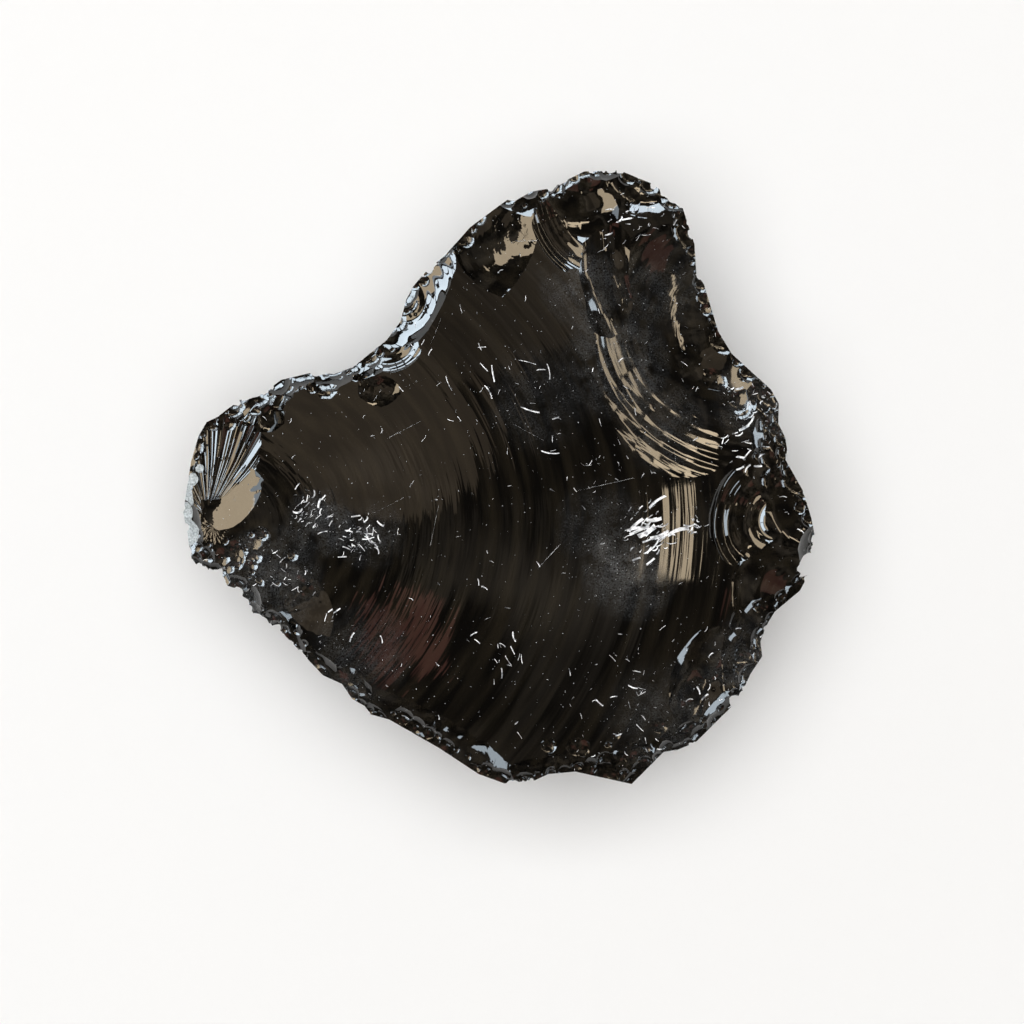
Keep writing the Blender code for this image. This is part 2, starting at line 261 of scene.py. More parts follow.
def flake_tree():
    tree = bpy.data.node_groups.new("flake_scar", "GeometryNodeTree")
    given = flake_inputs(tree)
    rings = given["Rings"]
    grid = add_node(
        tree, "GeometryNodeMeshGrid",
        {"Size X": 1.0, "Size Y": 1.0, "Vertices X": rings + 3.0, "Vertices Y": given["Spokes"] + 1.0},
    )
    x, y, _ = split(tree, out(add_node(tree, "GeometryNodeInputPosition")))
    step = (x + 0.5) * (rings + 2.0)
    past_floor = (step - rings).maths("GREATER_THAN", 0.5)
    past_lip = (step - rings).maths("GREATER_THAN", 1.5)
    side = y * 2.0
    turn = side * (side * side + 1.0) * (math.pi / 2.0)
    even = given["Outer"] * (step / rings).maths("MINIMUM", 1.0)
    pitch = given["Pitch"]
    number = (even * PITCH_GROWTH / pitch + 1.0).maths("LOGARITHM", math.e) / PITCH_GROWTH
    lobes = (turn * float(WANDER_LOBES) + given["Run"]).maths("SINE")
    radius = even * (lobes * WANDER * (1.0 - side * side) + 1.0)
    out_along = radius * turn.maths("COSINE")
    across = radius * turn.maths("SINE")
    along = out_along - given["Run"]
    floor = floor_field(tree, given, number, turn, radius, along, across)
    height = floor + past_floor * (LID_HEIGHT - floor)
    kept = 1.0 - past_lip
    place = combine(tree, (out_along * kept - given["Run"]) * MM, across * kept * MM, height * MM)
    mapped = add_node(
        tree, "GeometryNodeStoreNamedAttribute",
        {"Geometry": out(grid), "Name": "flow", "Value": combine(tree, even, turn)},
        data_type="FLOAT2", domain="CORNER",
    )
    bent = add_node(tree, "GeometryNodeSetPosition", {"Geometry": out(mapped), "Position": place})
    whole = add_node(tree, "GeometryNodeMergeByDistance", {"Geometry": out(bent), "Distance": WELD})
    realised = add_node(tree, "GeometryNodeRealizeInstances", {"Geometry": out(whole)})
    painted = add_node(
        tree, "GeometryNodeSetMaterial", {"Geometry": out(realised), "Material": given["Material"]},
    )
    result = tree.nodes.new("NodeGroupOutput")
    tree.links.new(painted.outputs[0], result.inputs[0])
    return tree


flake = flake_tree()
print("the flake tree has", len(flake.nodes), "nodes")

# %% [markdown]
# ## From tree to plain mesh
#
# A tree's result is turned into a plain mesh at once, because the cuts, the export and the rest of
# this notebook want real vertices. The slow roll of each floor is added here with the same noise
# that shaped the solid, so that the fine stone and the solid agree to a fraction of a millimetre.

# %% Helpers that run a tree and keep its mesh
def new_collection(name, hidden=True):
    group = bpy.data.collections.new(name)
    group.hide_render = hidden
    bpy.context.scene.collection.children.link(group)
    return group


def run_tree(tree, values, name, start=None):
    """A plain mesh: the tree's result with these inputs, on an empty mesh or on a copy of one."""
    mesh = start.copy() if start else bpy.data.meshes.new(name)
    maker = bpy.data.objects.new(name + "_maker", mesh)
    bpy.context.scene.collection.objects.link(maker)
    nodes = maker.modifiers.new("tree", "NODES")
    nodes.node_group = tree
    named = {item.name: item.identifier for item in tree.interface.items_tree if item.in_out == "INPUT"}
    for key, value in values.items():
        nodes[named[key]] = value
    graph = bpy.context.evaluated_depsgraph_get()
    made = bpy.data.meshes.new_from_object(maker.evaluated_get(graph))
    made.name = name
    maker.modifiers.clear()
    bpy.data.objects.remove(maker)
    return made


def face_outwards(mesh):
    bm = bmesh.new()
    bm.from_mesh(mesh)
    bmesh.ops.recalc_face_normals(bm, faces=bm.faces[:])
    bm.to_mesh(mesh)
    bm.free()


def mark_faces(mesh, number):
    """Gives every face of a mesh this scar number."""
    marks = mesh.attributes.get("scar") or mesh.attributes.new("scar", "INT", "FACE")
    marks.data.foreach_set("value", [number] * len(mesh.polygons))


print("ready to cut")

# %% [markdown]
# ## The finish of fresh glass
#
# Materials come before the cuts, because each flake carries the finish that its scar will have.
# They are filled in further down; here they only get their names.

# %% Material names
glass = bpy.data.materials.new("obsidian_glass")
crushed = bpy.data.materials.new("crushed_glass")
rind = bpy.data.materials.new("weathered_rind")
FINISHES = {"glass": glass, "crushed": crushed, "rind": rind}
for finish in FINISHES.values():
    finish.use_nodes = True
print("three finishes named:", list(FINISHES))

# %% [markdown]
# ## The outline and the blank
#
# The stone starts as a thick slab with the finished outline, widest a little below its top edge and
# drawn in to a smaller, smoother base. The values are the ones that the solid was made from.

# %% The rim, seen from above, anticlockwise from the left end, in millimetres
RIM = [
    (-48.7, -13.4), (-44.4, -16.3), (-43.0, -18.2), (-40.3, -19.1), (-38.3, -22.8), (-35.2, -23.7),
    (-27.9, -31.4), (-24.9, -32.8), (-23.3, -35.2), (-21.4, -36.3), (-20.3, -37.7), (-17.5, -38.5),
    (-9.7, -43.0), (-3.3, -47.2), (0.8, -48.7), (5.7, -48.2), (7.8, -47.2), (12.1, -46.8),
    (21.1, -48.8), (26.2, -43.7), (28.4, -43.4), (31.3, -42.2), (38.4, -35.2), (40.0, -31.4),
    (41.9, -28.5), (41.6, -26.1), (42.7, -23.3), (43.8, -21.4), (47.8, -18.0), (48.7, -16.3),
    (49.7, -12.6), (50.0, -9.0), (49.5, -6.4), (48.1, -2.0), (45.4, 2.8), (45.7, 4.3), (45.4, 6.3),
    (44.3, 8.5), (44.4, 11.7), (43.2, 13.9), (37.0, 19.6), (34.8, 23.2), (32.5, 30.7), (31.3, 32.3),
    (31.0, 37.0), (29.0, 43.1), (24.3, 46.6), (19.0, 48.8), (13.5, 48.6), (7.9, 45.9), (5.1, 45.5),
    (2.5, 44.0), (1.3, 44.2), (-4.6, 39.9), (-8.7, 35.3), (-11.6, 32.9), (-13.7, 30.4), (-14.8, 28.3),
    (-15.7, 24.8), (-17.9, 21.8), (-23.2, 17.5), (-26.2, 16.4), (-29.5, 16.7), (-34.6, 15.5),
    (-38.4, 12.8), (-41.3, 12.3), (-44.8, 9.6), (-46.5, 8.8), (-47.8, 6.6), (-49.0, 2.4),
    (-50.2, -5.5),
]
MIDDLE = Vector((3.9, -3.2))

# %% The blank
BLANK_TOP = 38.0
RIM_HEIGHT = 23.0
TOP_SHARE = 0.97
BASE_SHARE = 0.72
BASE_NEIGHBOURS = 5
RIM_WAVES = ((2, 1.2, 0.7), (5, 0.8, 2.0))


def rim_height(point):
    """The widest line wanders up and down as it goes round."""
    turn = math.atan2(point[1] - MIDDLE.y, point[0] - MIDDLE.x)
    return RIM_HEIGHT + sum(height * math.sin(lobes * turn + start) for lobes, height, start in RIM_WAVES)


def drawn_in(point, share, height):
    """A rim point drawn in towards the middle, in metres."""
    flat = MIDDLE + (Vector(point) - MIDDLE) * share
    return Vector((flat.x, flat.y, height)) * MM


def base_point(number):
    """The rim point of this number, averaged with its neighbours."""
    near = range(number - BASE_NEIGHBOURS, number + BASE_NEIGHBOURS + 1)
    return sum((Vector(RIM[other % len(RIM)]) for other in near), Vector((0.0, 0.0))) / len(near)


def make_blank():
    """The base outline, grown up to the widest line and then to the top."""
    bm = bmesh.new()
    place = bm.verts.layers.int.new("place")
    for number in range(len(RIM)):
        bm.verts.new(drawn_in(base_point(number), BASE_SHARE, 0.0))[place] = number
    face = bm.faces.new(bm.verts)
    for share, height_of in ((1.0, rim_height), (TOP_SHARE, lambda point: BLANK_TOP)):
        grown = bmesh.ops.extrude_face_region(bm, geom=[face, *face.edges])["geom"]
        face = next(item for item in grown if isinstance(item, bmesh.types.BMFace))
        for vert in face.verts:
            point = RIM[vert[place]]
            vert.co = drawn_in(point, share, height_of(point))
    bmesh.ops.recalc_face_normals(bm, faces=bm.faces[:])
    bm.loops.layers.uv.new("flow")
    mesh = bpy.data.meshes.new("obsidian_blank")
    bm.to_mesh(mesh)
    bm.free()
    mesh.materials.append(glass)
    mark_faces(mesh, 0)
    return mesh


blank_mesh = make_blank()
print("the blank has", len(blank_mesh.polygons), "faces")

# %% [markdown]
# ## The list of scars
#
# Each row below is one flake, in the order in which they came off: first the big old face, then the
# flakes of the right half, the upper left edge and the lower edge. The sizes are the solid's own.

# %% What a scar is
class Scar(NamedTuple):
    """What a flake left: all lengths in millimetres, all angles in degrees."""

    name: str
    strike: tuple  # where the blow fell, seen from above
    heading: float  # the way the flake ran, from +X
    run: float  # from the blow to the middle of the bowl
    reach: float  # half of the bowl's length
    spread: float  # half of its width
    depth: float  # of the bowl's middle; below nought it is a dome
    sink: float = 0.0  # how far the bowl's edge lies under the big face
    dip: float = 0.0  # how far the bowl leans down the way the flake ran
    tilt: float = 0.0  # how far it leans down to the left of that way
    pitch: float = 3.2  # of the ripples near the blow
    ripple: float = 0.07  # their height
    late: float = 0.0  # how much higher they are past the calm
    hackle: float = 0.10  # of the rays
    fine: float = 0.05  # of the small ripples between
    rays: float = 9.0  # how many to a turn, roughly
    calm: float = 0.0  # how far from the blow the late ripples are at their full height
    fade: float = 2.5  # how long a stretch they take to rise
    finish: str = "glass"  # or "rind"
    step: float = 0.30  # between two rings of the mesh
    spokes: int = 44


FACE_EDGE = 26.5
FACE_RISE = 4.6
FACE_HALF = 55.0
FACE_MIDDLE = Vector((6.0, 2.0))
FACE_SCAR = Scar(
    "big_face", (-45.1, -8.0), 10.0, 52.2, FACE_HALF, FACE_HALF, -FACE_RISE,
    sink=FACE_RISE, pitch=1.2, ripple=0.004, late=0.008, hackle=0.02, fine=0.010, rays=5.0,
    calm=66.0, fade=40.0, step=0.42, spokes=150,
)

# %% The scars of the top
TOP_SCARS = [
    Scar(
        "right_trough", (38.6, 24.2), 185.0, 8.0, 15.0, 22.0, 4.2,
        pitch=0.7, ripple=0.0, late=0.03, fine=0.012, calm=18.5, spokes=110,
    ),
    Scar(
        "top_flute", (49.9, 40.0), 199.0, 32.4, 6.2, 18.0, 2.6,
        pitch=3.0, ripple=0.03, fine=0.03, spokes=90,
    ),
    Scar("top_hollow", (12.0, 49.6), 285.0, 6.6, 5.4, 5.0, 1.2, sink=0.7, dip=-3.0, hackle=0.25, rays=14.0),
    Scar("tongue", (17.3, 43.2), 262.0, 6.0, 7.0, 2.4, 0.9, pitch=4.0),
    Scar("top_corner", (23.2, 48.0), 256.0, 3.3, 4.2, 4.8, 0.8, sink=0.8, dip=-14.0),
    Scar("crushed_a", (40.0, 19.0), 235.0, 3.4, 3.6, 4.6, 0.6, sink=0.7, dip=-18.0),
    Scar("crushed_b", (44.5, 14.0), 205.0, 4.2, 3.8, 4.2, 0.7, sink=0.9, dip=-22.0),
    Scar("crushed_c", (47.0, 7.0), 185.0, 4.0, 3.4, 4.0, 0.6, sink=0.9, dip=-20.0),
    Scar("crushed_d", (46.5, 2.2), 160.0, 3.4, 3.0, 3.4, 0.5, sink=0.7, dip=-16.0),
    Scar("right_lobe", (43.8, -6.8), 171.0, 4.9, 5.2, 7.2, 1.7, pitch=2.0, ripple=0.21),
    Scar("right_outer", (51.5, -3.0), 219.0, 7.0, 5.4, 7.0, 1.2, dip=-17.0, tilt=-6.0),
    Scar("right_corner", (49.5, -20.0), 163.0, 7.6, 7.4, 6.4, 1.1, dip=-13.0),
    Scar("lower_right_a", (45.5, -26.5), 172.0, 5.4, 4.6, 5.4, 0.8, sink=1.1, dip=-22.0),
    Scar("lower_right_b", (43.0, -31.0), 170.0, 5.2, 4.2, 4.8, 0.7, sink=0.9, dip=-18.0),
    Scar("lower_right_c", (37.0, -35.5), 158.0, 6.6, 4.4, 7.4, 1.0, dip=-9.0, ripple=0.02),
    Scar("lower_right_d", (39.5, -40.5), 142.0, 4.6, 4.8, 6.4, 0.7, sink=0.9, dip=-25.0),
    Scar("lower_right_e", (30.0, -46.0), 118.0, 3.6, 3.8, 5.6, 0.5, sink=0.8, dip=-24.0),
    Scar("lower_right_f", (21.5, -48.8), 104.0, 3.0, 3.8, 5.2, 0.5, sink=0.9, dip=-22.0),
    Scar(
        "top_facet", (4.0, 38.0), 293.0, 0.6, 4.4, 7.2, 0.34,
        sink=0.7, dip=-13.0, tilt=-13.0, pitch=2.2, ripple=0.012,
    ),
    Scar("top_steps", (19.2, 45.6), 211.0, 12.2, 3.8, 7.4, 1.4, pitch=0.9, ripple=0.14, step=0.2, spokes=70),
    Scar("top_fan", (1.7, 45.8), 262.0, 2.6, 4.0, 4.4, 1.1, dip=-30.0, pitch=0.9, ripple=0.07, step=0.2),
    Scar("top_left_chip", (-5.4, 41.0), 310.0, 2.0, 2.6, 4.2, 0.9, dip=-28.0),
    Scar("small_chip", (-6.8, 37.6), 312.0, 2.2, 2.2, 2.8, 0.8, dip=-16.0),
    Scar("crescent", (-15.1, 28.1), 325.0, 3.4, 4.2, 9.4, 1.2, sink=1.0, dip=-33.0, pitch=1.9, ripple=0.09),
    Scar("notch", (-17.6, 22.6), 261.0, 3.2, 3.7, 5.2, 1.7, dip=-18.0, pitch=1.2, ripple=0.09, step=0.2),
    Scar(
        "notch_foot", (-19.4, 15.8), 262.0, 1.8, 1.6, 2.3, 0.16,
        ripple=0.02, pitch=1.0, fine=0.01, spokes=30,
    ),
    Scar(
        "left_shoulder", (-37.4, 13.6), 318.0, 2.2, 3.0, 6.4, 0.45,
        sink=0.5, dip=-33.0, hackle=0.5, rays=26.0, spokes=110,
    ),
    Scar("left_shoulder_chip", (-42.0, 12.4), 312.0, 1.6, 2.4, 3.2, 0.4, sink=0.7, dip=-30.0),
    Scar(
        "left_facet", (-41.7, -3.4), 0.0, 0.0, 3.1, 4.0, 0.16,
        sink=0.4, dip=-16.0, tilt=5.0, pitch=4.0, ripple=0.008,
    ),
    Scar(
        "hackle_fan", (-46.3, -6.0), 76.0, 9.0, 10.4, 7.0, 1.7,
        tilt=14.0, pitch=6.0, ripple=0.06, hackle=0.65, rays=38.0, spokes=260,
    ),
    Scar("left_end", (-50.8, -3.6), 355.0, 1.8, 3.0, 6.4, 0.4, sink=0.5, dip=-40.0, fine=0.2, finish="rind"),
    Scar(
        "lower_bevel", (-11.6, -44.2), 62.6, 2.6, 4.4, 13.0, 0.5,
        sink=1.2, dip=-24.0, pitch=4.0, ripple=0.02,
    ),
    Scar("lower_notch", (10.5, -48.6), 90.0, 2.4, 3.0, 5.8, 0.5, sink=0.7, dip=-26.0, ripple=0.02),
    Scar("inner_scar", (-35.2, -22.0), 40.0, 4.0, 3.6, 2.5, 0.06, ripple=0.02, pitch=1.4, fine=0.01),
]
LEDGE_POINTS = [
    (-49.6, -11.8), (-46.6, -16.6), (-41.8, -20.4), (-37.6, -24.6), (-32.6, -28.6), (-28.0, -33.4),
    (-22.8, -38.2),
]
LEDGE_HEADING = 48.0

# %% The scars of the wall and the underside
class WallScar(NamedTuple):
    """A scar on the wall or underside, in the same units."""

    name: str
    strike: tuple  # where the blow fell, seen from above
    height: float  # of the blow
    heading: float  # the way the flake ran, seen from above
    slope: float  # from the level down to the way the flake ran
    run: float
    reach: float
    spread: float
    depth: float


WALL_PITCH = 6.4
WALL_RIPPLE = 0.20
WALL_SCARS = [
    WallScar("wall_left", (-50.0, -5.0), 22.0, 5.0, 34.0, 15.0, 19.0, 16.0, 3.8),
    WallScar("wall_lower_left", (-38.0, -23.0), 23.0, 45.0, 52.0, 13.0, 17.0, 18.0, 3.6),
    WallScar("wall_lower", (-15.0, -40.5), 22.0, 65.0, 46.0, 14.0, 18.0, 18.0, 3.8),
    WallScar("wall_bottom", (9.0, -48.0), 23.0, 95.0, 52.0, 14.0, 17.0, 16.0, 3.6),
    WallScar("wall_lower_right", (33.0, -40.5), 22.0, 130.0, 46.0, 14.0, 18.0, 18.0, 3.8),
    WallScar("wall_right", (49.0, -13.0), 23.0, 175.0, 53.0, 13.0, 17.0, 16.0, 3.6),
    WallScar("wall_upper_right", (43.5, 13.0), 22.0, 205.0, 48.0, 13.0, 17.0, 16.0, 3.6),
    WallScar("wall_top_right", (31.0, 37.0), 23.0, 235.0, 54.0, 13.0, 17.0, 15.0, 3.4),
    WallScar("wall_top", (9.0, 46.5), 22.0, 280.0, 44.0, 15.0, 19.0, 16.0, 3.8),
    WallScar("wall_upper_left", (-12.0, 33.0), 23.0, 325.0, 58.0, 12.0, 16.0, 16.0, 3.4),
    WallScar("wall_notch", (-24.0, 17.5), 22.0, 300.0, 63.0, 12.0, 16.0, 14.0, 3.4),
    WallScar("wall_shoulder", (-43.0, 11.0), 22.0, 298.0, 50.0, 13.0, 17.0, 14.0, 3.4),
    WallScar("under_left", (-32.0, -6.0), 7.0, 10.0, 19.0, 12.0, 18.0, 16.0, 3.4),
    WallScar("under_right", (36.0, -22.0), 6.5, 150.0, 16.0, 12.0, 17.0, 17.0, 2.4),
    WallScar("under_top", (16.0, 32.0), 6.5, 262.0, 15.0, 12.0, 17.0, 14.0, 2.4),
]
print(len(TOP_SCARS) + len(LEDGE_POINTS), "scars on top,", len(WALL_SCARS), "on the walls and below")

# %% [markdown]
# ## From a list to places
#
# A row of the list gives where the blow fell and how far the flake ran. The bowl's middle is that
# far along, on the big face, and the bowl's plane leans as the flake did. A wall scar is the same
# bowl turned over, so that it opens outwards and down.

# %% Where each scar lies
def face_height(x, y):
    """The big face's height over a point, its ripples left out."""
    across = (Vector((x, y)) - FACE_MIDDLE).length / FACE_HALF
    return FACE_EDGE + FACE_RISE * (1.0 - across * across)


def turned(heading, dip, roll):
    """A frame whose +X is the way the flake ran and whose +Z points out of the stone."""
    yaw = Matrix.Rotation(math.radians(heading), 4, "Z")
    pitch = Matrix.Rotation(math.radians(dip), 4, "Y")
    return yaw @ pitch @ Matrix.Rotation(math.radians(roll), 4, "X")


def top_matrix(scar):
    """The bowl's middle lies on the big face, its plane leaning as the scar says."""
    heading = math.radians(scar.heading)
    x = scar.strike[0] + scar.run * math.cos(heading)
    y = scar.strike[1] + scar.run * math.sin(heading)
    place = Vector((x, y, face_height(x, y) - scar.sink)) * MM
    return Matrix.Translation(place) @ turned(scar.heading, scar.dip, -scar.tilt)


def wall_matrix(wall):
    """The same for a wall scar, which is turned over so that it opens outwards and down."""
    frame_of = turned(wall.heading, wall.slope, 180.0)
    middle = Vector((*wall.strike, wall.height)) + frame_of.to_3x3() @ Vector((wall.run, 0.0, 0.0))
    return Matrix.Translation(middle * MM) @ frame_of


def wall_scar(wall):
    return Scar(
        wall.name, wall.strike, wall.heading, wall.run, wall.reach, wall.spread, wall.depth,
        pitch=WALL_PITCH, ripple=WALL_RIPPLE, hackle=0.12, fine=0.10, step=0.9, spokes=40,
    )


def ledge_scar(number, point):
    return Scar(
        f"ledge_{number}", point, LEDGE_HEADING, 1.4, 2.5, 4.2, 0.4,
        sink=0.5, dip=-26.0, ripple=0.03, spokes=30,
    )


print("the big face is", round(face_height(0.0, 0.0), 1), "mm high over the middle")


# %% [markdown]
# ## The chips along the rim
#
# A thin glass edge never stays whole. All the way round, small bites have come out of its upper
# side. Their sizes are drawn at random within limits, with a fixed seed so that the solid and this
# stone lose the same chips.

# %% Rim chips
CHIP_SEED = 11
CHIP_STEP = 5.6
CHIP_REACH = (1.3, 2.9)
CHIP_WIDTH = (1.0, 1.7)
CHIP_DEPTH = (0.25, 0.6)
CHIP_SINK = (0.4, 1.6)
CHIP_LEAN = (22.0, 48.0)
CHIP_SWING = (-20.0, 20.0)
CHIP_RUN = 0.3


def outline_walk(step):
    """Points at even steps round the rim, each with the heading straight in from it."""
    carried = 0.0
    for here, after in zip(RIM, RIM[1:] + RIM[:1]):
        start = Vector(here)
        side = Vector(after) - start
        inward = math.degrees(math.atan2(side.y, side.x)) + 90.0
        while carried < side.length:
            yield start + side.normalized() * carried, inward
            carried += step
        carried -= side.length


def rim_chip(number, point, inward, draw):
    """A small bite out of the rim, leaning out over it."""
    reach = draw.uniform(*CHIP_REACH)
    return Scar(
        f"rim_chip_{number:02d}", tuple(point), inward + draw.uniform(*CHIP_SWING), CHIP_RUN * reach,
        reach, reach * draw.uniform(*CHIP_WIDTH), draw.uniform(*CHIP_DEPTH),
        sink=draw.uniform(*CHIP_SINK), dip=-draw.uniform(*CHIP_LEAN),
        pitch=1.1, ripple=0.03, fine=0.03, step=reach / 5.0, spokes=18,
    )


chip_draw = random.Random(CHIP_SEED)
rim_chips = [rim_chip(number, *step, chip_draw) for number, step in enumerate(outline_walk(CHIP_STEP))]
print(len(rim_chips), "rim chips")

# %% [markdown]
# ## Cutting
#
# Each flake is one run of the tree. Boolean modifiers then take the flakes away group by group, in
# the order in which they fell. The Manifold solver is used because every flake is a closed body,
# and it is many times quicker than the exact one. Each face of the result keeps the number of the
# scar that it came from, which tells the ridges apart from the ripples later.

# %% Make the flakes and take them away
scar_numbers = {}


def scar_cutter(scar, matrix, group):
    outer = scar.run + BOWL_MARGIN * max(scar.reach, scar.spread)
    number = len(scar_numbers) + 1
    scar_numbers[number] = scar.name
    mesh = run_tree(
        flake,
        {
            "Rings": math.ceil(outer / scar.step), "Spokes": scar.spokes, "Outer": outer, "Run": scar.run,
            "Reach": scar.reach, "Spread": scar.spread, "Depth": scar.depth, "Pitch": scar.pitch,
            "Ripple": scar.ripple, "Late": scar.late, "Hackle": scar.hackle, "Fine": scar.fine,
            "Rays": scar.rays, "Calm": scar.calm, "Fade": scar.fade, "Seed": float(number),
            "Material": FINISHES[scar.finish],
        },
        scar.name,
    )
    for vert in mesh.vertices:
        place = vert.co / MM
        if place.z < FLOOR_CLAMP:
            seat = Vector((place.x / scar.reach, place.y / scar.reach, scar.heading))
            vert.co.z += UNEVEN * abs(scar.depth) * noise.noise(seat) * MM
    face_outwards(mesh)
    mark_faces(mesh, number)
    cutter = bpy.data.objects.new(scar.name, mesh)
    cutter.matrix_world = matrix
    group.objects.link(cutter)


def cut_away(stone, group):
    cut = stone.modifiers.new(group.name, "BOOLEAN")
    cut.operation = "DIFFERENCE"
    cut.solver = "MANIFOLD"
    cut.operand_type = "COLLECTION"
    cut.collection = group
    cut.material_mode = "TRANSFER"


ledge = [ledge_scar(number, point) for number, point in enumerate(LEDGE_POINTS)]
FLAKE_GROUPS = {
    "face_flake": [(FACE_SCAR, top_matrix(FACE_SCAR))],
    "top_flakes": [(scar, top_matrix(scar)) for scar in TOP_SCARS + ledge],
    "wall_flakes": [(wall_scar(wall), wall_matrix(wall)) for wall in WALL_SCARS],
    "rim_flakes": [(chip, top_matrix(chip)) for chip in rim_chips],
}
cutters = []
for title, scars in FLAKE_GROUPS.items():
    flakes = new_collection(title)
    for scar, matrix in scars:
        scar_cutter(scar, matrix, flakes)
    cutters.append(flakes)
print(len(scar_numbers), "flakes made")

# %% The stone as one plain mesh
def settle(stone):
    """The stone's modifiers made real, and its mesh given back."""
    graph = bpy.context.evaluated_depsgraph_get()
    made = bpy.data.meshes.new_from_object(stone.evaluated_get(graph))
    stone.modifiers.clear()
    return made


def cut_with(mesh, groups):
    """A mesh with these groups of cutters taken away, one after another."""
    holder = bpy.data.objects.new("holder", mesh)
    bpy.context.scene.collection.objects.link(holder)
    for group in groups:
        cut_away(holder, group)
    made = settle(holder)
    bpy.data.objects.remove(holder)
    for group in groups:
        for tool in list(group.objects):
            bpy.data.objects.remove(tool)
        bpy.data.collections.remove(group)
    return made


stone_mesh = cut_with(blank_mesh, cutters)
print("the cut stone has", len(stone_mesh.polygons), "faces")

# %% [markdown]
# ## The crumbled rim
#
# Along its thin edge the glass is bitten all the way round by chips of a millimetre or two, some out
# of the top side and some from below. Each is a small round bite. A rounded lump, set so that only
# its side touches the edge, takes out such a bite, so the tree walks along the rim and sets down
# lumps of random size, turned a little up or down. The path is read from the cut stone itself: the
# edges where its top meets its walls.

# %% The edge line of the stone
RIM_BAND = 2.5
RIM_LOWEST = 14.0


def near_rim(point):
    """Whether a point lies over the outline, to within the band."""
    flat = Vector((point.x, point.y)) / MM
    best = 1e9
    for here, after in zip(RIM, RIM[1:] + RIM[:1]):
        start, side = Vector(here), Vector(after) - Vector(here)
        share = max(0.0, min(1.0, (flat - start).dot(side) / side.length_squared))
        best = min(best, (flat - start - side * share).length)
    return best < RIM_BAND and point.z > RIM_LOWEST * MM


def rim_line(mesh):
    """A mesh of edges only: those whose one face looks up and whose other looks down."""
    bm = bmesh.new()
    bm.from_mesh(mesh)
    turned_over = [
        edge for edge in bm.edges
        if len(edge.link_faces) == 2
        and (edge.link_faces[0].normal.z > 0.0) != (edge.link_faces[1].normal.z > 0.0)
        and near_rim(edge.verts[0].co)
    ]
    ends = sorted({vert.index for edge in turned_over for vert in edge.verts})
    order = {index: number for number, index in enumerate(ends)}
    bm.verts.ensure_lookup_table()
    points = [bm.verts[index].co.copy() for index in ends]
    pairs = [(order[edge.verts[0].index], order[edge.verts[1].index]) for edge in turned_over]
    bm.free()
    line = bpy.data.meshes.new("rim_line")
    line.from_pydata(points, pairs, [])
    return line


rim_edges = rim_line(stone_mesh)
print("the rim line has", len(rim_edges.edges), "edges")

# %% The crumbling tree
LUMP_NOISE = 1.6
LUMP_GAIN = 1.1
LUMP_LEAST = 0.45
LUMP_FLATNESS = 0.7
CRUMB_SWING = 0.6
SHALLOWEST = 0.4  # the least share of its full bite that a lump takes


def random_field(tree, least, most, seed):
    node = add_node(tree, "FunctionNodeRandomValue", data_type="FLOAT")
    feed(tree, node.inputs["Seed"], seed)
    for socket, value in zip([item for item in node.inputs if item.type == "VALUE"], (least, most)):
        feed(tree, socket, value)
    return Field(tree, next(item for item in node.outputs if item.enabled))


def start_tree(name, floats, whole=()):
    """An empty tree with a Geometry and a Material input, the named inputs and a Geometry output."""
    tree = bpy.data.node_groups.new(name, "GeometryNodeTree")
    tree.interface.new_socket("Geometry", in_out="INPUT", socket_type="NodeSocketGeometry")
    for title in floats:
        tree.interface.new_socket(title, in_out="INPUT", socket_type="NodeSocketFloat")
    for title in (*whole, "Seed"):
        tree.interface.new_socket(title, in_out="INPUT", socket_type="NodeSocketInt")
    tree.interface.new_socket("Material", in_out="INPUT", socket_type="NodeSocketMaterial")
    tree.interface.new_socket("Geometry", in_out="OUTPUT", socket_type="NodeSocketGeometry")
    given = tree.nodes.new("NodeGroupInput")
    return tree, {socket.name: Field(tree, socket) for socket in given.outputs if socket.name}


def end_tree(tree, instances, material):
    """Realize Instances, Set Material and the output."""
    realised = add_node(tree, "GeometryNodeRealizeInstances", {"Geometry": instances})
    painted = add_node(tree, "GeometryNodeSetMaterial", {"Geometry": out(realised), "Material": material})
    result = tree.nodes.new("NodeGroupOutput")
    tree.links.new(painted.outputs[0], result.inputs[0])


def lump(tree):
    """A rounded lump a little out of round."""
    ball = add_node(tree, "GeometryNodeMeshIcoSphere", {"Radius": 1.0, "Subdivisions": 2})
    x, y, z = split(tree, out(add_node(tree, "GeometryNodeInputPosition")))
    swell = noise_field(tree, LUMP_NOISE, x, y, z) * LUMP_GAIN + LUMP_LEAST
    bent = add_node(tree, "GeometryNodeSetPosition", {"Geometry": out(ball)})
    feed(tree, bent.inputs["Position"], combine(tree, x * swell, y * swell, z * swell * LUMP_FLATNESS))
    return out(bent)


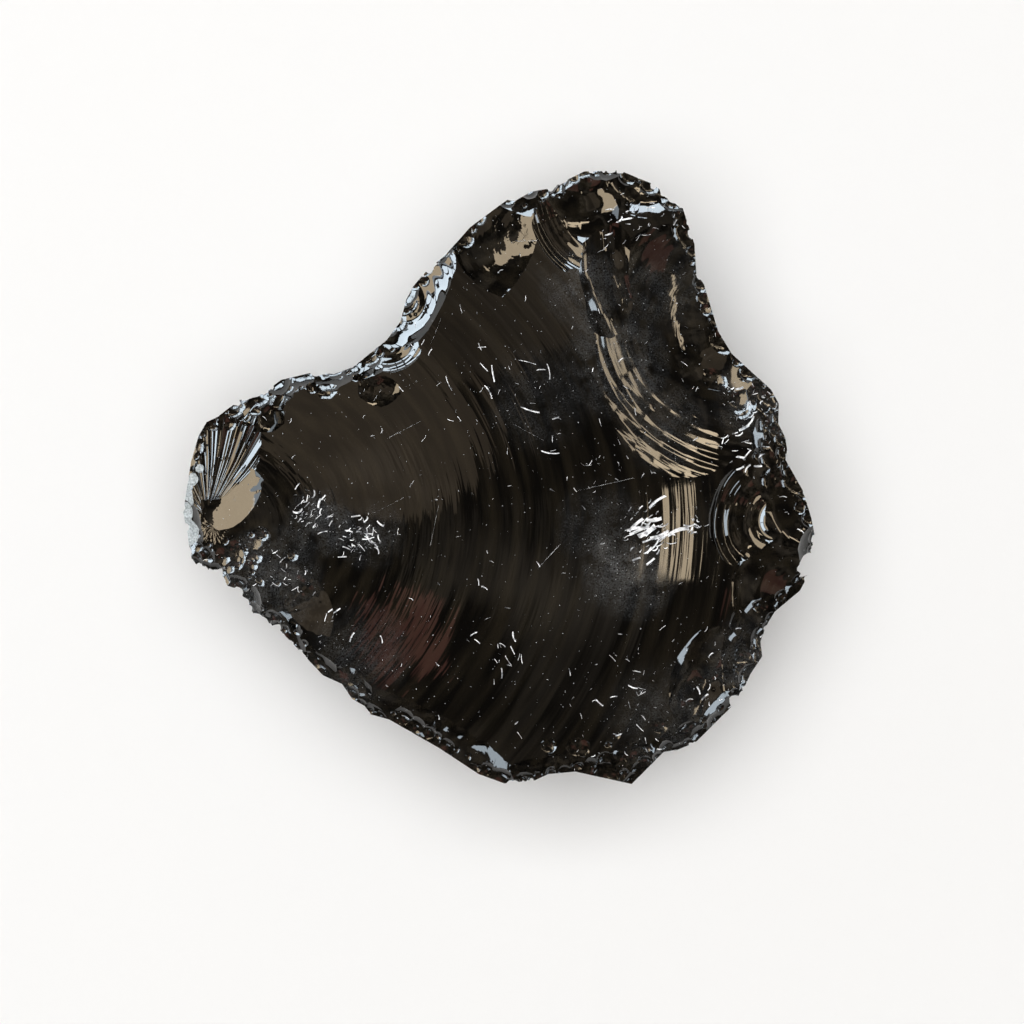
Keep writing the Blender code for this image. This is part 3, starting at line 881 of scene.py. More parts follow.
def crumble_tree():
    tree, given = start_tree("crumble", ("Step", "Least", "Most", "Bite", "Lowest turn", "Highest turn"))
    seed = given["Seed"]
    line = add_node(tree, "GeometryNodeMeshToCurve", {"Mesh": given["Geometry"]})
    walk = add_node(
        tree, "GeometryNodeResampleCurve", {"Curve": out(line), "Length": given["Step"] * MM}, mode="LENGTH",
    )
    points = add_node(tree, "GeometryNodeCurveToPoints", {"Curve": out(walk)}, mode="EVALUATED")
    share = random_field(tree, 0.0, 1.0, seed).maths("POWER", 2.0)
    size = given["Least"] + (given["Most"] - given["Least"]) * share
    x, y, _ = split(tree, out(add_node(tree, "GeometryNodeInputPosition")))
    away_x = x - MIDDLE.x * MM
    away_y = y - MIDDLE.y * MM
    length = (away_x * away_x + away_y * away_y).maths("SQRT")
    turn = random_field(tree, given["Lowest turn"], given["Highest turn"], seed + 1.0).maths("RADIANS")
    swing = random_field(tree, -CRUMB_SWING, CRUMB_SWING, seed + 2.0)
    side_x = away_x / length
    side_y = away_y / length
    push = (size - given["Bite"] * random_field(tree, SHALLOWEST, 1.0, seed + 3.0)) * MM
    level = push * turn.maths("COSINE")
    offset = combine(
        tree, level * (side_x - side_y * swing), level * (side_y + side_x * swing), push * turn.maths("SINE"),
    )
    moved = add_node(tree, "GeometryNodeSetPosition", {"Geometry": out(points), "Offset": offset})
    turns = [random_field(tree, 0.0, math.tau, seed + float(number)) for number in (4, 5, 6)]
    spin = add_node(tree, "FunctionNodeEulerToRotation", {0: combine(tree, *turns)})
    bites = add_node(
        tree, "GeometryNodeInstanceOnPoints",
        {"Points": out(moved), "Instance": lump(tree), "Rotation": out(spin)},
    )
    feed(tree, bites.inputs["Scale"], combine(tree, size * MM, size * MM, size * MM))
    end_tree(tree, out(bites), given["Material"])
    return tree


crumble = crumble_tree()
print("the crumbling tree has", len(crumble.nodes), "nodes")

# %% Bite the rim
LUMP_VERTS = 42
CRUMBS = {
    "crumbs_top": {
        "Step": 1.8, "Least": 0.6, "Most": 2.4, "Bite": 0.6, "Lowest turn": 20.0, "Highest turn": 85.0,
    },
    "crumbs_side": {
        "Step": 0.9, "Least": 0.3, "Most": 1.2, "Bite": 0.22, "Lowest turn": -30.0, "Highest turn": 30.0,
    },
    "crumbs_under": {
        "Step": 1.7, "Least": 0.8, "Most": 3.0, "Bite": 0.7, "Lowest turn": -85.0, "Highest turn": -20.0,
    },
}
CRUMB_SEED = 3


RIND_STRETCH = ((-60.0, -47.2), (-9.5, 2.0))


def finish_at(point):
    """The rind is left on one stretch of the rim. Everywhere else the glass is fresh."""
    (left, right), (low, high) = RIND_STRETCH
    kept = left < point.x / MM < right and low < point.y / MM < high
    return "rind" if kept else "glass"


def parts_of(mesh, verts_each):
    """The separate bodies of a realised mesh, which all have the same number of vertices."""
    points = [vert.co.copy() for vert in mesh.vertices]
    faces = {}
    for face in mesh.polygons:
        faces.setdefault(face.vertices[0] // verts_each, []).append(face.vertices[:])
    for number, own in faces.items():
        first = number * verts_each
        part = bpy.data.meshes.new(mesh.name)
        own_faces = [[index - first for index in face] for face in own]
        part.from_pydata(points[first:first + verts_each], [], own_faces)
        yield part


def tools_from(mesh, verts_each, number, group, finish_of):
    """One cutter for each body, because the solver wants bodies that don't run through themselves."""
    face_outwards(mesh)
    for part in parts_of(mesh, verts_each):
        part.materials.append(FINISHES[finish_of(part.vertices[0].co)])
        mark_faces(part, number)
        group.objects.link(bpy.data.objects.new(mesh.name, part))


def number_for(name):
    number = len(scar_numbers) + 1
    scar_numbers[number] = name
    return number


bites = new_collection("bites")
for title, values in CRUMBS.items():
    inputs = {**values, "Seed": CRUMB_SEED * number_for(title), "Material": glass}
    lumps = run_tree(crumble, inputs, title, start=rim_edges)
    tools_from(lumps, LUMP_VERTS, len(scar_numbers), bites, finish_at)
stone_mesh = cut_with(stone_mesh, [bites])
print("the bitten stone has", len(stone_mesh.polygons), "faces")

# %% [markdown]
# ## Small shells in the crushed places
#
# Where the edge has been battered, small shells of a millimetre or two lie side by side, over and
# into one another. They are the same flake again, set down on the surface of the cut stone: a ray
# is dropped on it to find the height and the lean of the glass at each place.

# %% Small shells
class Battered(NamedTuple):
    """A round place full of small shells: millimetres, and how many."""

    x: float
    y: float
    radius: float
    count: int


BATTERED = [
    Battered(41.0, 15.0, 6.5, 22), Battered(44.5, 5.5, 5.5, 18), Battered(38.5, 22.0, 5.0, 8),
    Battered(43.0, -24.0, 5.5, 12), Battered(39.0, -34.0, 6.0, 14), Battered(31.0, -41.0, 5.5, 14),
    Battered(20.0, -45.5, 5.0, 14), Battered(25.0, 46.0, 5.0, 8), Battered(-41.0, 11.0, 3.5, 8),
    Battered(-43.0, -13.6, 4.6, 22), Battered(-26.0, 15.8, 3.4, 9), Battered(-32.5, 14.8, 2.6, 7),
    Battered(-38.0, -14.0, 6.0, 8), Battered(10.0, -45.0, 4.0, 6),
]
SHELL_SEED = 5
SHELL_REACH = (0.4, 1.5)
SHELL_WIDTH = (0.7, 1.4)
SHELL_DEPTH = (0.16, 0.42)
SHELL_LEAN = (-26.0, -4.0)
EDGE_SEED = 8
EDGE_STEP = 1.9
EDGE_SHARE = 0.9
EDGE_INSET = (0.2, 2.2)
EDGE_LEAN = (-50.0, -20.0)
DROP = 60.0


def surface_finder(mesh):
    """A function from x and y to the point and the normal of the stone's top there, in metres."""
    bm = bmesh.new()
    bm.from_mesh(mesh)
    tree = BVHTree.FromBMesh(bm)
    bm.free()

    def find(x, y):
        point, normal, _, _ = tree.ray_cast(Vector((x, y, DROP)) * MM, Vector((0.0, 0.0, -1.0)))
        return point, normal

    return find


def seat_on(point, normal, heading, dip):
    """A scar's frame on the surface: +Z along the normal, turned to its heading, then leaned."""
    level = normal.to_track_quat("Z", "Y").to_matrix().to_4x4()
    return Matrix.Translation(point) @ level @ turned(heading, dip, 0.0)


def small_shell(name, draw):
    reach = draw.uniform(*SHELL_REACH)
    return Scar(
        name, (0.0, 0.0), 0.0, 0.3 * reach, reach, reach * draw.uniform(*SHELL_WIDTH),
        draw.uniform(*SHELL_DEPTH), pitch=0.7, ripple=0.015, hackle=0.04, fine=0.03,
        step=reach / 3.5, spokes=14,
    )


find_top = surface_finder(stone_mesh)
shells = new_collection("shells")
shell_draw = random.Random(SHELL_SEED)
for place, spot in enumerate(BATTERED):
    for number in range(spot.count):
        turn = shell_draw.uniform(0.0, math.tau)
        away = spot.radius * math.sqrt(shell_draw.random())
        point, normal = find_top(spot.x + away * math.cos(turn), spot.y + away * math.sin(turn))
        shell = small_shell(f"shell_{place}_{number}", shell_draw)
        frame_of = (shell_draw.uniform(0.0, 360.0), shell_draw.uniform(*SHELL_LEAN))
        if point:
            scar_cutter(shell, seat_on(point, normal, *frame_of), shells)
edge_draw = random.Random(EDGE_SEED)
for number, (spot, inward) in enumerate(outline_walk(EDGE_STEP)):
    angle = math.radians(inward)
    inset = edge_draw.uniform(*EDGE_INSET)
    shell = small_shell(f"edge_shell_{number}", edge_draw)._replace(finish=finish_at(spot.to_3d() * MM))
    lean = edge_draw.uniform(*EDGE_LEAN)
    point, normal = find_top(spot.x + inset * math.cos(angle), spot.y + inset * math.sin(angle))
    if point and edge_draw.random() < EDGE_SHARE:
        seat = Matrix.Translation(point) @ turned(inward + edge_draw.uniform(*CHIP_SWING), lean, 0.0)
        scar_cutter(shell, seat, shells)
stone_mesh = cut_with(stone_mesh, [shells])

# %% [markdown]
# ## Bruises and nicks
#
# Loose glass in a box or a pocket knocks against its neighbours. Each knock leaves a nick of crushed
# glass: a short white stroke, straight or bent like a nail paring. They gather in bruised places.
# The tree scatters points inside a circle on the stone, lays a tapered stroke on each, turned about
# the surface's own normal, and the strokes are then cut in, so that each nick is a real groove. Its
# walls carry the crushed finish.

# %% The nicking tree
NICK_BENDS = (0.0, 0.5, -0.7, 1.2, -2.2)
NICK_POINTS = 6
NICK_SIDES = 5
NICK_TAPER = 0.98
LEAST_UP = 0.1  # how far up a face has to look to be nicked
LONG_RARITY = 2.5
WIDTH_DRAW = (0.3, 1.0)
DEPTH_DRAW = (0.5, 1.2)


def stroke(tree, bend):
    """A spindle along X, one unit to each end, then bowed sideways by so many of its own widths."""
    ends = {"Start": (-1.0, 0.0, 0.0), "End": (1.0, 0.0, 0.0)}
    line = add_node(tree, "GeometryNodeCurvePrimitiveLine", ends)
    steps = {"Curve": out(line), "Count": NICK_POINTS}
    cut = add_node(tree, "GeometryNodeResampleCurve", steps, mode="COUNT")
    x, y, z = split(tree, out(add_node(tree, "GeometryNodeInputPosition")))
    taper = (1.0 - x * x * NICK_TAPER).maths("SQRT")
    thick = add_node(tree, "GeometryNodeSetCurveRadius", {"Curve": out(cut), "Radius": taper})
    ring = add_node(
        tree, "GeometryNodeCurvePrimitiveCircle", {"Resolution": NICK_SIDES, "Radius": 1.0}, mode="RADIUS",
    )
    tube = add_node(
        tree, "GeometryNodeCurveToMesh",
        {"Curve": out(thick), "Profile Curve": out(ring), "Fill Caps": True},
    )
    bow = combine(tree, x, y + (1.0 - x * x) * bend, z)
    bowed = add_node(tree, "GeometryNodeSetPosition", {"Geometry": out(tube), "Position": bow})
    return out(add_node(tree, "GeometryNodeGeometryToInstance", {0: out(bowed)}))


def nick_tree():
    tree, given = start_tree(
        "nicks",
        (
            "Centre X", "Centre Y", "Radius", "Density", "Short", "Long", "Slimness", "Depth", "Heading",
            "Swing",
        ),
    )
    seed = given["Seed"]
    x, y, _ = split(tree, out(add_node(tree, "GeometryNodeInputPosition")))
    off_x = x / MM - given["Centre X"]
    off_y = y / MM - given["Centre Y"]
    off = (off_x * off_x + off_y * off_y).maths("SQRT") / given["Radius"]
    _, _, up = split(tree, out(add_node(tree, "GeometryNodeInputNormal")))
    inside = (1.0 - off).maths("MAXIMUM", 0.0) * (up - LEAST_UP).maths("MAXIMUM", 0.0)
    spread = add_node(
        tree, "GeometryNodeDistributePointsOnFaces",
        {"Mesh": given["Geometry"], "Density": inside * given["Density"] / (MM * MM), "Seed": seed},
        distribute_method="RANDOM",
    )
    draw = random_field(tree, 0.0, 1.0, seed + 1.0).maths("POWER", LONG_RARITY)
    long = (given["Short"] + (given["Long"] - given["Short"]) * draw) * (MM / 2.0)
    slim = long * given["Slimness"] * random_field(tree, *WIDTH_DRAW, seed + 2.0)
    deep = given["Depth"] * random_field(tree, *DEPTH_DRAW, seed + 3.0) * MM
    angle = given["Heading"] + given["Swing"] * random_field(tree, -1.0, 1.0, seed + 4.0)
    flat_turn = combine(tree, 0.0, 0.0, angle.maths("RADIANS"))
    level = add_node(tree, "FunctionNodeEulerToRotation", {0: flat_turn})
    aligned = add_node(
        tree, "FunctionNodeAlignRotationToVector",
        {"Rotation": out(level), "Vector": Field(tree, spread.outputs["Normal"])}, axis="Z",
    )
    shapes = tree.nodes.new("GeometryNodeJoinGeometry")
    for bend in NICK_BENDS:
        tree.links.new(stroke(tree, bend).socket, shapes.inputs[0])
    laid = add_node(
        tree, "GeometryNodeInstanceOnPoints",
        {"Points": Field(tree, spread.outputs["Points"]), "Instance": out(shapes), "Rotation": out(aligned)},
    )
    laid.inputs["Pick Instance"].default_value = True
    which = random_field(tree, 0.0, float(len(NICK_BENDS)), seed + 5.0).maths("FLOOR")
    feed(tree, laid.inputs["Instance Index"], which)
    feed(tree, laid.inputs["Scale"], combine(tree, long, slim, deep))
    end_tree(tree, out(laid), given["Material"])
    return tree


nicks = nick_tree()
print("the nicking tree has", len(nicks.nodes), "nodes")

# %% Where the bruises are
class Bruise(NamedTuple):
    """A place full of nicks: millimetres, degrees, and a density in nicks to a square millimetre."""

    name: str
    x: float
    y: float
    radius: float
    density: float
    short: float = 0.3
    long: float = 2.2
    slimness: float = 0.22
    depth: float = 0.10
    heading: float = 0.0
    swing: float = 180.0


BRUISES = [
    Bruise("all_over", 3.0, -2.0, 90.0, 0.085, 0.15, 1.3, 0.16, 0.08),
    Bruise("upper_middle", 2.0, 15.0, 14.0, 0.06, 0.6, 3.6, 0.10),
    Bruise("middle_right", 23.6, -8.6, 4.6, 3.4, 0.5, 3.6, 0.26, 0.13, 33.0, 30.0),
    Bruise("right_of_it", 31.2, -7.0, 2.2, 2.4, 0.5, 1.4, 0.4, 0.14),
    Bruise("above_it", 16.0, 2.0, 9.0, 0.30, 0.3, 2.0, 0.14, 0.10, 110.0, 60.0),
    Bruise("left_patch", -21.5, -9.5, 4.5, 3.6, 0.3, 1.5, 0.26, 0.10, 90.0, 100.0),
    Bruise("left_streak", -30.0, -5.5, 4.2, 3.2, 0.4, 1.8, 0.26, 0.12, 40.0, 40.0),
    Bruise("left_arc", -34.0, -14.0, 7.0, 0.6, 0.3, 1.6, 0.22),
    Bruise("left_low", -26.0, -24.0, 5.0, 0.5, 0.3, 2.2, 0.2, 0.10, 45.0, 30.0),
    Bruise("low_middle", 1.2, -27.5, 3.2, 1.6, 0.4, 1.8, 0.16, 0.12, 120.0, 50.0),
    Bruise("low_right", 20.0, -38.0, 12.0, 0.30, 0.3, 1.8, 0.16),
    Bruise("right_crush", 41.0, 12.0, 8.0, 0.9, 0.3, 1.4, 0.3, 0.12),
    Bruise("trough_end", 38.0, 5.5, 5.0, 1.3, 0.4, 2.0, 0.3, 0.12, 30.0, 60.0),
    Bruise("lower_right_crush", 38.0, -33.0, 12.0, 0.5, 0.3, 1.5, 0.25, 0.12),
    Bruise("top_corner_knocks", 22.0, 40.0, 7.0, 0.7, 0.3, 1.8, 0.2, 0.10, 30.0, 50.0),
    Bruise("trough_knots", 18.0, 22.0, 8.0, 0.3, 0.3, 1.2, 0.25),
    Bruise("hairlines", -14.0, 4.0, 50.0, 0.009, 5.0, 14.0, 0.005, 0.035, 20.0, 60.0),
]
dents = new_collection("dents")
for place, bruise in enumerate(BRUISES):
    made = run_tree(
        nicks,
        {
            "Centre X": bruise.x, "Centre Y": bruise.y, "Radius": bruise.radius, "Density": bruise.density,
            "Short": bruise.short, "Long": bruise.long, "Slimness": bruise.slimness, "Depth": bruise.depth,
            "Heading": bruise.heading, "Swing": bruise.swing, "Seed": 100 + 10 * place, "Material": crushed,
        },
        bruise.name, start=stone_mesh,
    )
    print(bruise.name, "has", len(made.vertices) // (NICK_POINTS * NICK_SIDES), "nicks")
    tools_from(made, NICK_POINTS * NICK_SIDES, number_for(bruise.name), dents, lambda point: "crushed")
stone_mesh = cut_with(stone_mesh, [dents])
print("the nicked stone has", len(stone_mesh.polygons), "faces")

# %% [markdown]
# ## Ridges and ripples
#
# Where two scars meet, the glass comes to a keen edge, while a scar's own ripples are as smooth as
# water. Shading is smooth everywhere, and an edge is marked sharp where its two faces come from
# different scars or where it turns hard.

# %% Mark the ridges
SHARP_TURN = math.radians(38.0)


def mark_ridges(mesh):
    bm = bmesh.new()
    bm.from_mesh(mesh)
    scar_of = bm.faces.layers.int["scar"]
    for face in bm.faces:
        face.smooth = True
    ridges = 0
    for edge in bm.edges:
        faces = edge.link_faces
        meets = len(faces) == 2 and faces[0][scar_of] != faces[1][scar_of]
        hard = len(faces) == 2 and edge.calc_face_angle(0.0) > SHARP_TURN
        edge.smooth = not (meets or hard)
        ridges += meets
    bm.to_mesh(mesh)
    bm.free()
    return ridges


def largest_body(mesh):
    """Takes the crumbs that a cut has freed off the mesh, and says how many there were."""
    bm = bmesh.new()
    bm.from_mesh(mesh)
    bodies = []
    seen = set()
    for first in bm.verts:
        if first in seen:
            continue
        body = [first]
        seen.add(first)
        for vert in body:
            for edge in vert.link_edges:
                other = edge.other_vert(vert)
                if other not in seen:
                    seen.add(other)
                    body.append(other)
        bodies.append(body)
    bodies.sort(key=len)
    for body in bodies[:-1]:
        bmesh.ops.delete(bm, geom=body, context="VERTS")
    bm.to_mesh(mesh)
    bm.free()
    return len(bodies) - 1


print(largest_body(stone_mesh), "loose crumbs taken off")
print(mark_ridges(stone_mesh), "edges lie on ridges")

# %% [markdown]
# ## The finish
#
# Fresh obsidian is black glass: hardly any colour of its own, and a mirror that sends back one part
# in twenty-five of what it faces. Its life lies in small things. Very fine lines follow the rings
# of each scar, far too fine to model, so they are a bump that reads the rings from the flow map.
# Pale dust sits in dots all over it, thicker in a few hazy places. Brown bands along the rings are a
# painted sheen: a warm reflection of the ripples, painted into the base colour.

# %% Where a point is
PALE = (0.74, 0.78, 0.82)
BLACK = (0.0030, 0.0026, 0.0022)
# The brown of the painted sheen along the rings: a painted reflection of the ripples, not a colour of the
# glass.
PAINTED_SHEEN = (0.0120, 0.0096, 0.0063)


def place_of(tree):
    """The point's place on the object, in millimetres."""
    node = add_node(tree, "ShaderNodeTexCoord")
    return [item / MM for item in split(tree, out(node, "Object"))]


def flow_of(tree):
    """How far the point lies from its scar's blow, in millimetres, and the cosine and sine of its angle."""
    radius, turn, _ = split(tree, out(add_node(tree, "ShaderNodeUVMap", uv_map="flow")))
    return radius, turn.maths("COSINE"), turn.maths("SINE")


def mix_colour(tree, share, first, second):
    """A colour part of the way from the first to the second. Either can be plain numbers or a field."""
    node = add_node(tree, "ShaderNodeMix", data_type="RGBA")
    sockets = [item for item in node.inputs if item.enabled]
    feed(tree, sockets[0], share)
    for socket, value in zip(sockets[1:], (first, second)):
        feed(tree, socket, (*value, 1.0) if isinstance(value, tuple) else value)
    return Field(tree, next(item for item in node.outputs if item.enabled))


def written(tree, name):
    """A value that was written on the mesh."""
    return out(add_node(tree, "ShaderNodeAttribute", attribute_name=name), "Fac")


def dots(tree, place, pitch, size, share):
    """Round dots scattered through space: the share of cells, 0 to 1, that hold one."""
    seat = combine(tree, *(item / pitch for item in place))
    cells = add_node(tree, "ShaderNodeTexVoronoi", {"Vector": seat, "Scale": 1.0}, feature="F1")
    draw, other, _ = split(tree, out(cells, "Color"))
    inside = (size * (other * 0.8 + 0.5)) - out(cells, "Distance")
    return (inside * 12.0).maths("ADD", 0.0, clamp=True) * (share - draw).maths("GREATER_THAN", 0.0)


# %% [markdown]
# ## Dust
#
# Powdered glass and dust lie in a few hazy places, where the stone was rubbed or knocked. Each
# place is a soft round spot. The shader could work them all out at every sample of the picture, but
# they change so slowly that it is far quicker to write them once on the vertices, as an attribute.

# %% Haze
class Haze(NamedTuple):
    """A dusty place on the top, in millimetres."""

    x: float
    y: float
    radius: float
    strength: float


HAZES = [
    Haze(20.5, -15.0, 8.0, 0.9), Haze(16.0, -8.0, 8.0, 0.35), Haze(13.0, 30.0, 7.0, 0.7),
    Haze(18.5, 18.0, 9.0, 0.8), Haze(26.0, 8.0, 8.0, 0.4), Haze(26.0, 30.0, 8.0, 0.35),
    Haze(-36.0, -16.0, 9.0, 0.7), Haze(-28.0, -7.0, 6.0, 0.7), Haze(-20.0, -9.0, 6.0, 0.5),
    Haze(-22.0, -28.0, 9.0, 0.35), Haze(26.0, -38.0, 10.0, 0.35), Haze(40.0, -30.0, 9.0, 0.5),
    Haze(41.0, 12.0, 8.0, 0.45), Haze(6.0, 12.0, 9.0, 0.25),
]


def haze_over(x, y):
    """How dusty the glass is over a point, from 0 to about 1."""
    total = 0.0
    for haze in HAZES:
        away = ((x - haze.x) ** 2 + (y - haze.y) ** 2) / haze.radius ** 2
        total += max(0.0, 1.0 - away) * haze.strength
    return total


CALM_SCALE = 0.09
CALM_GAIN = 1.7


def lively(point):
    """How strongly the ring lines show at a point, from 0 in the calm stretches to 1."""
    return max(0.0, min(1.0, 0.5 + CALM_GAIN * noise.noise(point * (CALM_SCALE / MM))))


def write_on(mesh, name, value_of):
    """Writes a value on every vertex, so that the shader has a single number to read."""
    values = mesh.attributes.new(name, "FLOAT", "POINT")
    values.data.foreach_set("value", [value_of(vert.co) for vert in mesh.vertices])


write_on(stone_mesh, "dust", lambda point: haze_over(point.x / MM, point.y / MM))
write_on(stone_mesh, "lively", lively)
print(len(HAZES), "hazy places laid down")


# %% The glass
LINE_HEIGHT = 0.011
CLOSE_RADIUS = 32.0  # the fine lines crowd together about here
CLOSE_WIDTH = 11.0


CLOUD = (0.35, 2.2, 0.6)  # how fine, to a millimetre, then the gain and the start of what is kept
GRIT = (4.0, 2.4, 0.75)
FILM = 0.16
COARSE_DOTS = (0.95, 0.085)  # pitch in millimetres, and size in pitches
FINE_DOTS = (0.5, 0.14)
FINE_STRENGTH = 0.55
# The bands of the painted sheen, which is a painted reflection along the rings.
SHEEN_BAND = (0.55, 3.0, 3.2, 1.3)  # how fine along and round the rings, then the gain and the start
POLISH = 0.035
DOT_ROUGHNESS = 0.5
FILM_ROUGHNESS = 0.10
ROUGHEST = 0.6
NARROW_LINES = (1.7, 5.0)  # how fine along and round the rings
WIDE_LINES = (0.8, 4.0)
WIDE_HEIGHT = 1.2
LIVELY_HEIGHT = 0.7
CALM_HEIGHT = 0.3
CLOSE_HEIGHT = 1.6


def kept_above(field, gain, start):
    """What is left of a field over its start, never below nought."""
    return (field * gain - start).maths("MAXIMUM", 0.0)


def black_glass(material):
    tree = material.node_tree
    shader = tree.nodes["Principled BSDF"]
    place = place_of(tree)
    radius, ahead, aside = flow_of(tree)
    haze = written(tree, "dust")
    cloud = noise_field(tree, CLOUD[0], *place, detail=2.0)
    grit = noise_field(tree, GRIT[0], *place, detail=2.0)
    dusty = haze * kept_above(cloud, *CLOUD[1:])
    film = dusty * kept_above(grit, *GRIT[1:]) * FILM
    coarse = dots(tree, place, *COARSE_DOTS, cloud * 0.9 - 0.08)
    fine = dots(tree, place, *FINE_DOTS, dusty * 1.2 + cloud * 0.6 - 0.15)
    pale = (coarse + fine * FINE_STRENGTH + film).maths("ADD", 0.0, clamp=True)
    # Painted sheen: brown bands drawn out along the rings, a painted reflection of the ripples in the base
    # colour.
    along, around, gain, start = SHEEN_BAND
    sheen_noise = noise_field(tree, 1.0, radius * along, ahead * around, aside * around, detail=2.0)
    painted_sheen = (sheen_noise * gain - start).maths("ADD", 0.0, clamp=True)
    tinted = mix_colour(tree, painted_sheen, BLACK, PAINTED_SHEEN)
    feed(tree, shader.inputs["Base Color"], mix_colour(tree, pale, tinted, PALE))
    rough = pale * DOT_ROUGHNESS + dusty * FILM_ROUGHNESS + POLISH
    feed(tree, shader.inputs["Roughness"], rough.maths("MINIMUM", ROUGHEST))
    shader.inputs["IOR"].default_value = 1.5
    # Lines along the rings, some stretches calm and some drawn close.
    along, around = NARROW_LINES
    lines = noise_field(tree, 1.0, radius * along, ahead * around, aside * around, detail=1.0)
    along, around = WIDE_LINES
    wide = noise_field(tree, 1.0, radius * along, ahead * around, aside * around, detail=0.0)
    drawn = (1.0 - (radius - CLOSE_RADIUS).maths("ABSOLUTE") / CLOSE_WIDTH).maths("MAXIMUM", 0.0)
    strength = written(tree, "lively") * LIVELY_HEIGHT + CALM_HEIGHT + drawn * CLOSE_HEIGHT
    height = lines * strength + wide * WIDE_HEIGHT
    bump = add_node(tree, "ShaderNodeBump", {"Strength": 1.0, "Distance": LINE_HEIGHT * MM, "Height": height})
    feed(tree, shader.inputs["Normal"], out(bump))


black_glass(glass)
print("the glass has", len(glass.node_tree.nodes), "nodes")

# %% [markdown]
# ## Crushed glass and the rind
#
# Where a nick has crushed the glass, its splinters scatter light and it looks white, with greyer
# places where it has only cracked. One stretch of the rim still has the outside of the old block:
# a matt grey rind, pitted by weather. Both are plain rough surfaces, coloured by a noise.

# %% Crushed glass and the weathered rind
CRUSHED_DARK = (0.10, 0.11, 0.13)
CRUSHED_PALE = (0.97, 0.98, 1.0)
RIND_DARK = (0.20, 0.23, 0.24)
RIND_PALE = (0.66, 0.71, 0.73)
POWDER = (1.1, 3.8, 1.2)  # how fine, to a millimetre, then the gain and the start
GRAIN = (3.0, 2.6, 0.8)
CRUSHED_ROUGHNESS = 0.4
RIND_ROUGHNESS = 0.8
RIND_PITS = 0.12


def crushed_glass(material):
    """White where the glass has gone to powder, grey where it has only cracked."""
    tree = material.node_tree
    shader = tree.nodes["Principled BSDF"]
    place = place_of(tree)
    scale, gain, start = POWDER
    powder = (noise_field(tree, scale, *place, detail=3.0) * gain - start).maths("ADD", 0.0, clamp=True)
    feed(tree, shader.inputs["Base Color"], mix_colour(tree, powder, CRUSHED_DARK, CRUSHED_PALE))
    shader.inputs["Roughness"].default_value = CRUSHED_ROUGHNESS


def weathered_rind(material):
    """The outside of the old block: matt, grey and pitted."""
    tree = material.node_tree
    shader = tree.nodes["Principled BSDF"]
    place = place_of(tree)
    scale, gain, start = GRAIN
    grain = noise_field(tree, scale, *place, detail=5.0)
    shade = (grain * gain - start).maths("ADD", 0.0, clamp=True)
    feed(tree, shader.inputs["Base Color"], mix_colour(tree, shade, RIND_DARK, RIND_PALE))
    shader.inputs["Roughness"].default_value = RIND_ROUGHNESS
    bump = add_node(tree, "ShaderNodeBump", {"Strength": 1.0, "Distance": RIND_PITS * MM, "Height": grain})
    feed(tree, shader.inputs["Normal"], out(bump))


crushed_glass(crushed)
weathered_rind(rind)
print("all three finishes are filled in")

# %% [markdown]
# ## The finished piece
#
# The cut mesh becomes one object. Its place is in its mesh, so the object itself stays at the
# origin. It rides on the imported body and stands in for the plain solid.

# %% The finished piece
stone = bpy.data.objects.new("obsidian_chunk_glass", stone_mesh)
bpy.context.scene.collection.objects.link(stone)
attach(stone, "root")
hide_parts(NODE)
print(stone.name, "is ready")

# %% [markdown]
# ## The table
#
# The stone lies on plain pale paper, wide enough to fill the view. The paper also lights the stone's
# walls from below.

# %% A plain pale floor
FLOOR_HALF = 3.0
floor_mesh = bpy.data.meshes.new("floor")
bm = bmesh.new()
bmesh.ops.create_grid(bm, x_segments=1, y_segments=1, size=FLOOR_HALF)
bm.to_mesh(floor_mesh)
bm.free()
floor = bpy.data.objects.new("floor", floor_mesh)
bpy.context.scene.collection.objects.link(floor)
paper = bpy.data.materials.new("pale_paper")
paper.use_nodes = True
PAPER_COLOUR = (0.88, 0.88, 0.88, 1.0)
PAPER_ROUGHNESS = 0.9
paper.node_tree.nodes["Principled BSDF"].inputs["Base Color"].default_value = PAPER_COLOUR
paper.node_tree.nodes["Principled BSDF"].inputs["Roughness"].default_value = PAPER_ROUGHNESS
floor_mesh.materials.append(paper)
print("the floor is", 2.0 * FLOOR_HALF, "m wide")

# %% [markdown]
# ## Lighting black glass
#
# Black glass shows next to nothing of its own colour. It shows what it faces. So the light is made
# of two kinds of thing. One large soft box lights the paper, the dust and the nicks, and is left out
# of the mirror. The rest are cards, as a product photographer hangs them: windows for the cold
# highlights, warm cards for the tan facets and bands, and dim brown ones for the big face. They show
# in the mirror and light nothing else. A card overhead is given by its edges, and one further down
# by its bearing and its height over the horizon, as seen from the stone.

# %% Soft boxes and cards
CEILING = 1500.0
DOME = 2200.0
GLAZED = 0.84  # the share of each pane that isn't bar
WHITE = (1.0, 1.0, 1.0)
GREY_BROWN = (1.0, 0.78, 0.55)
RED_BROWN = (1.0, 0.42, 0.32)
MAUVE = (1.0, 0.72, 0.64)
TAN = (1.0, 0.81, 0.56)
SKY = (0.78, 0.90, 1.0)


def soft_box(name, place, size, colour, radiance, aim=None, shape="RECTANGLE"):
    """A flat lamp that shows this radiance in a mirror, whatever its size. It faces down or at its aim."""
    lamp = bpy.data.lights.new(name, "AREA")
    lamp.shape = shape
    lamp.size = size[0] * MM
    lamp.size_y = size[1] * MM
    lamp.color = colour
    lamp.energy = radiance * math.pi * lamp.size * lamp.size_y
    if shape == "ELLIPSE":
        lamp.energy *= math.pi / 4.0
    box = bpy.data.objects.new(name, lamp)
    box.location = Vector(place) * MM
    if aim:
        toward = (Vector(aim) - Vector(place)).normalized()
        box.rotation_euler = toward.to_track_quat("-Z", "Y").to_euler()
    bpy.context.scene.collection.objects.link(box)
    return box


def card(*details, **more):
    """A coloured card: the glass mirrors it, and it lights nothing else."""
    box = soft_box(*details, **more)
    box.visible_diffuse = False
    return box


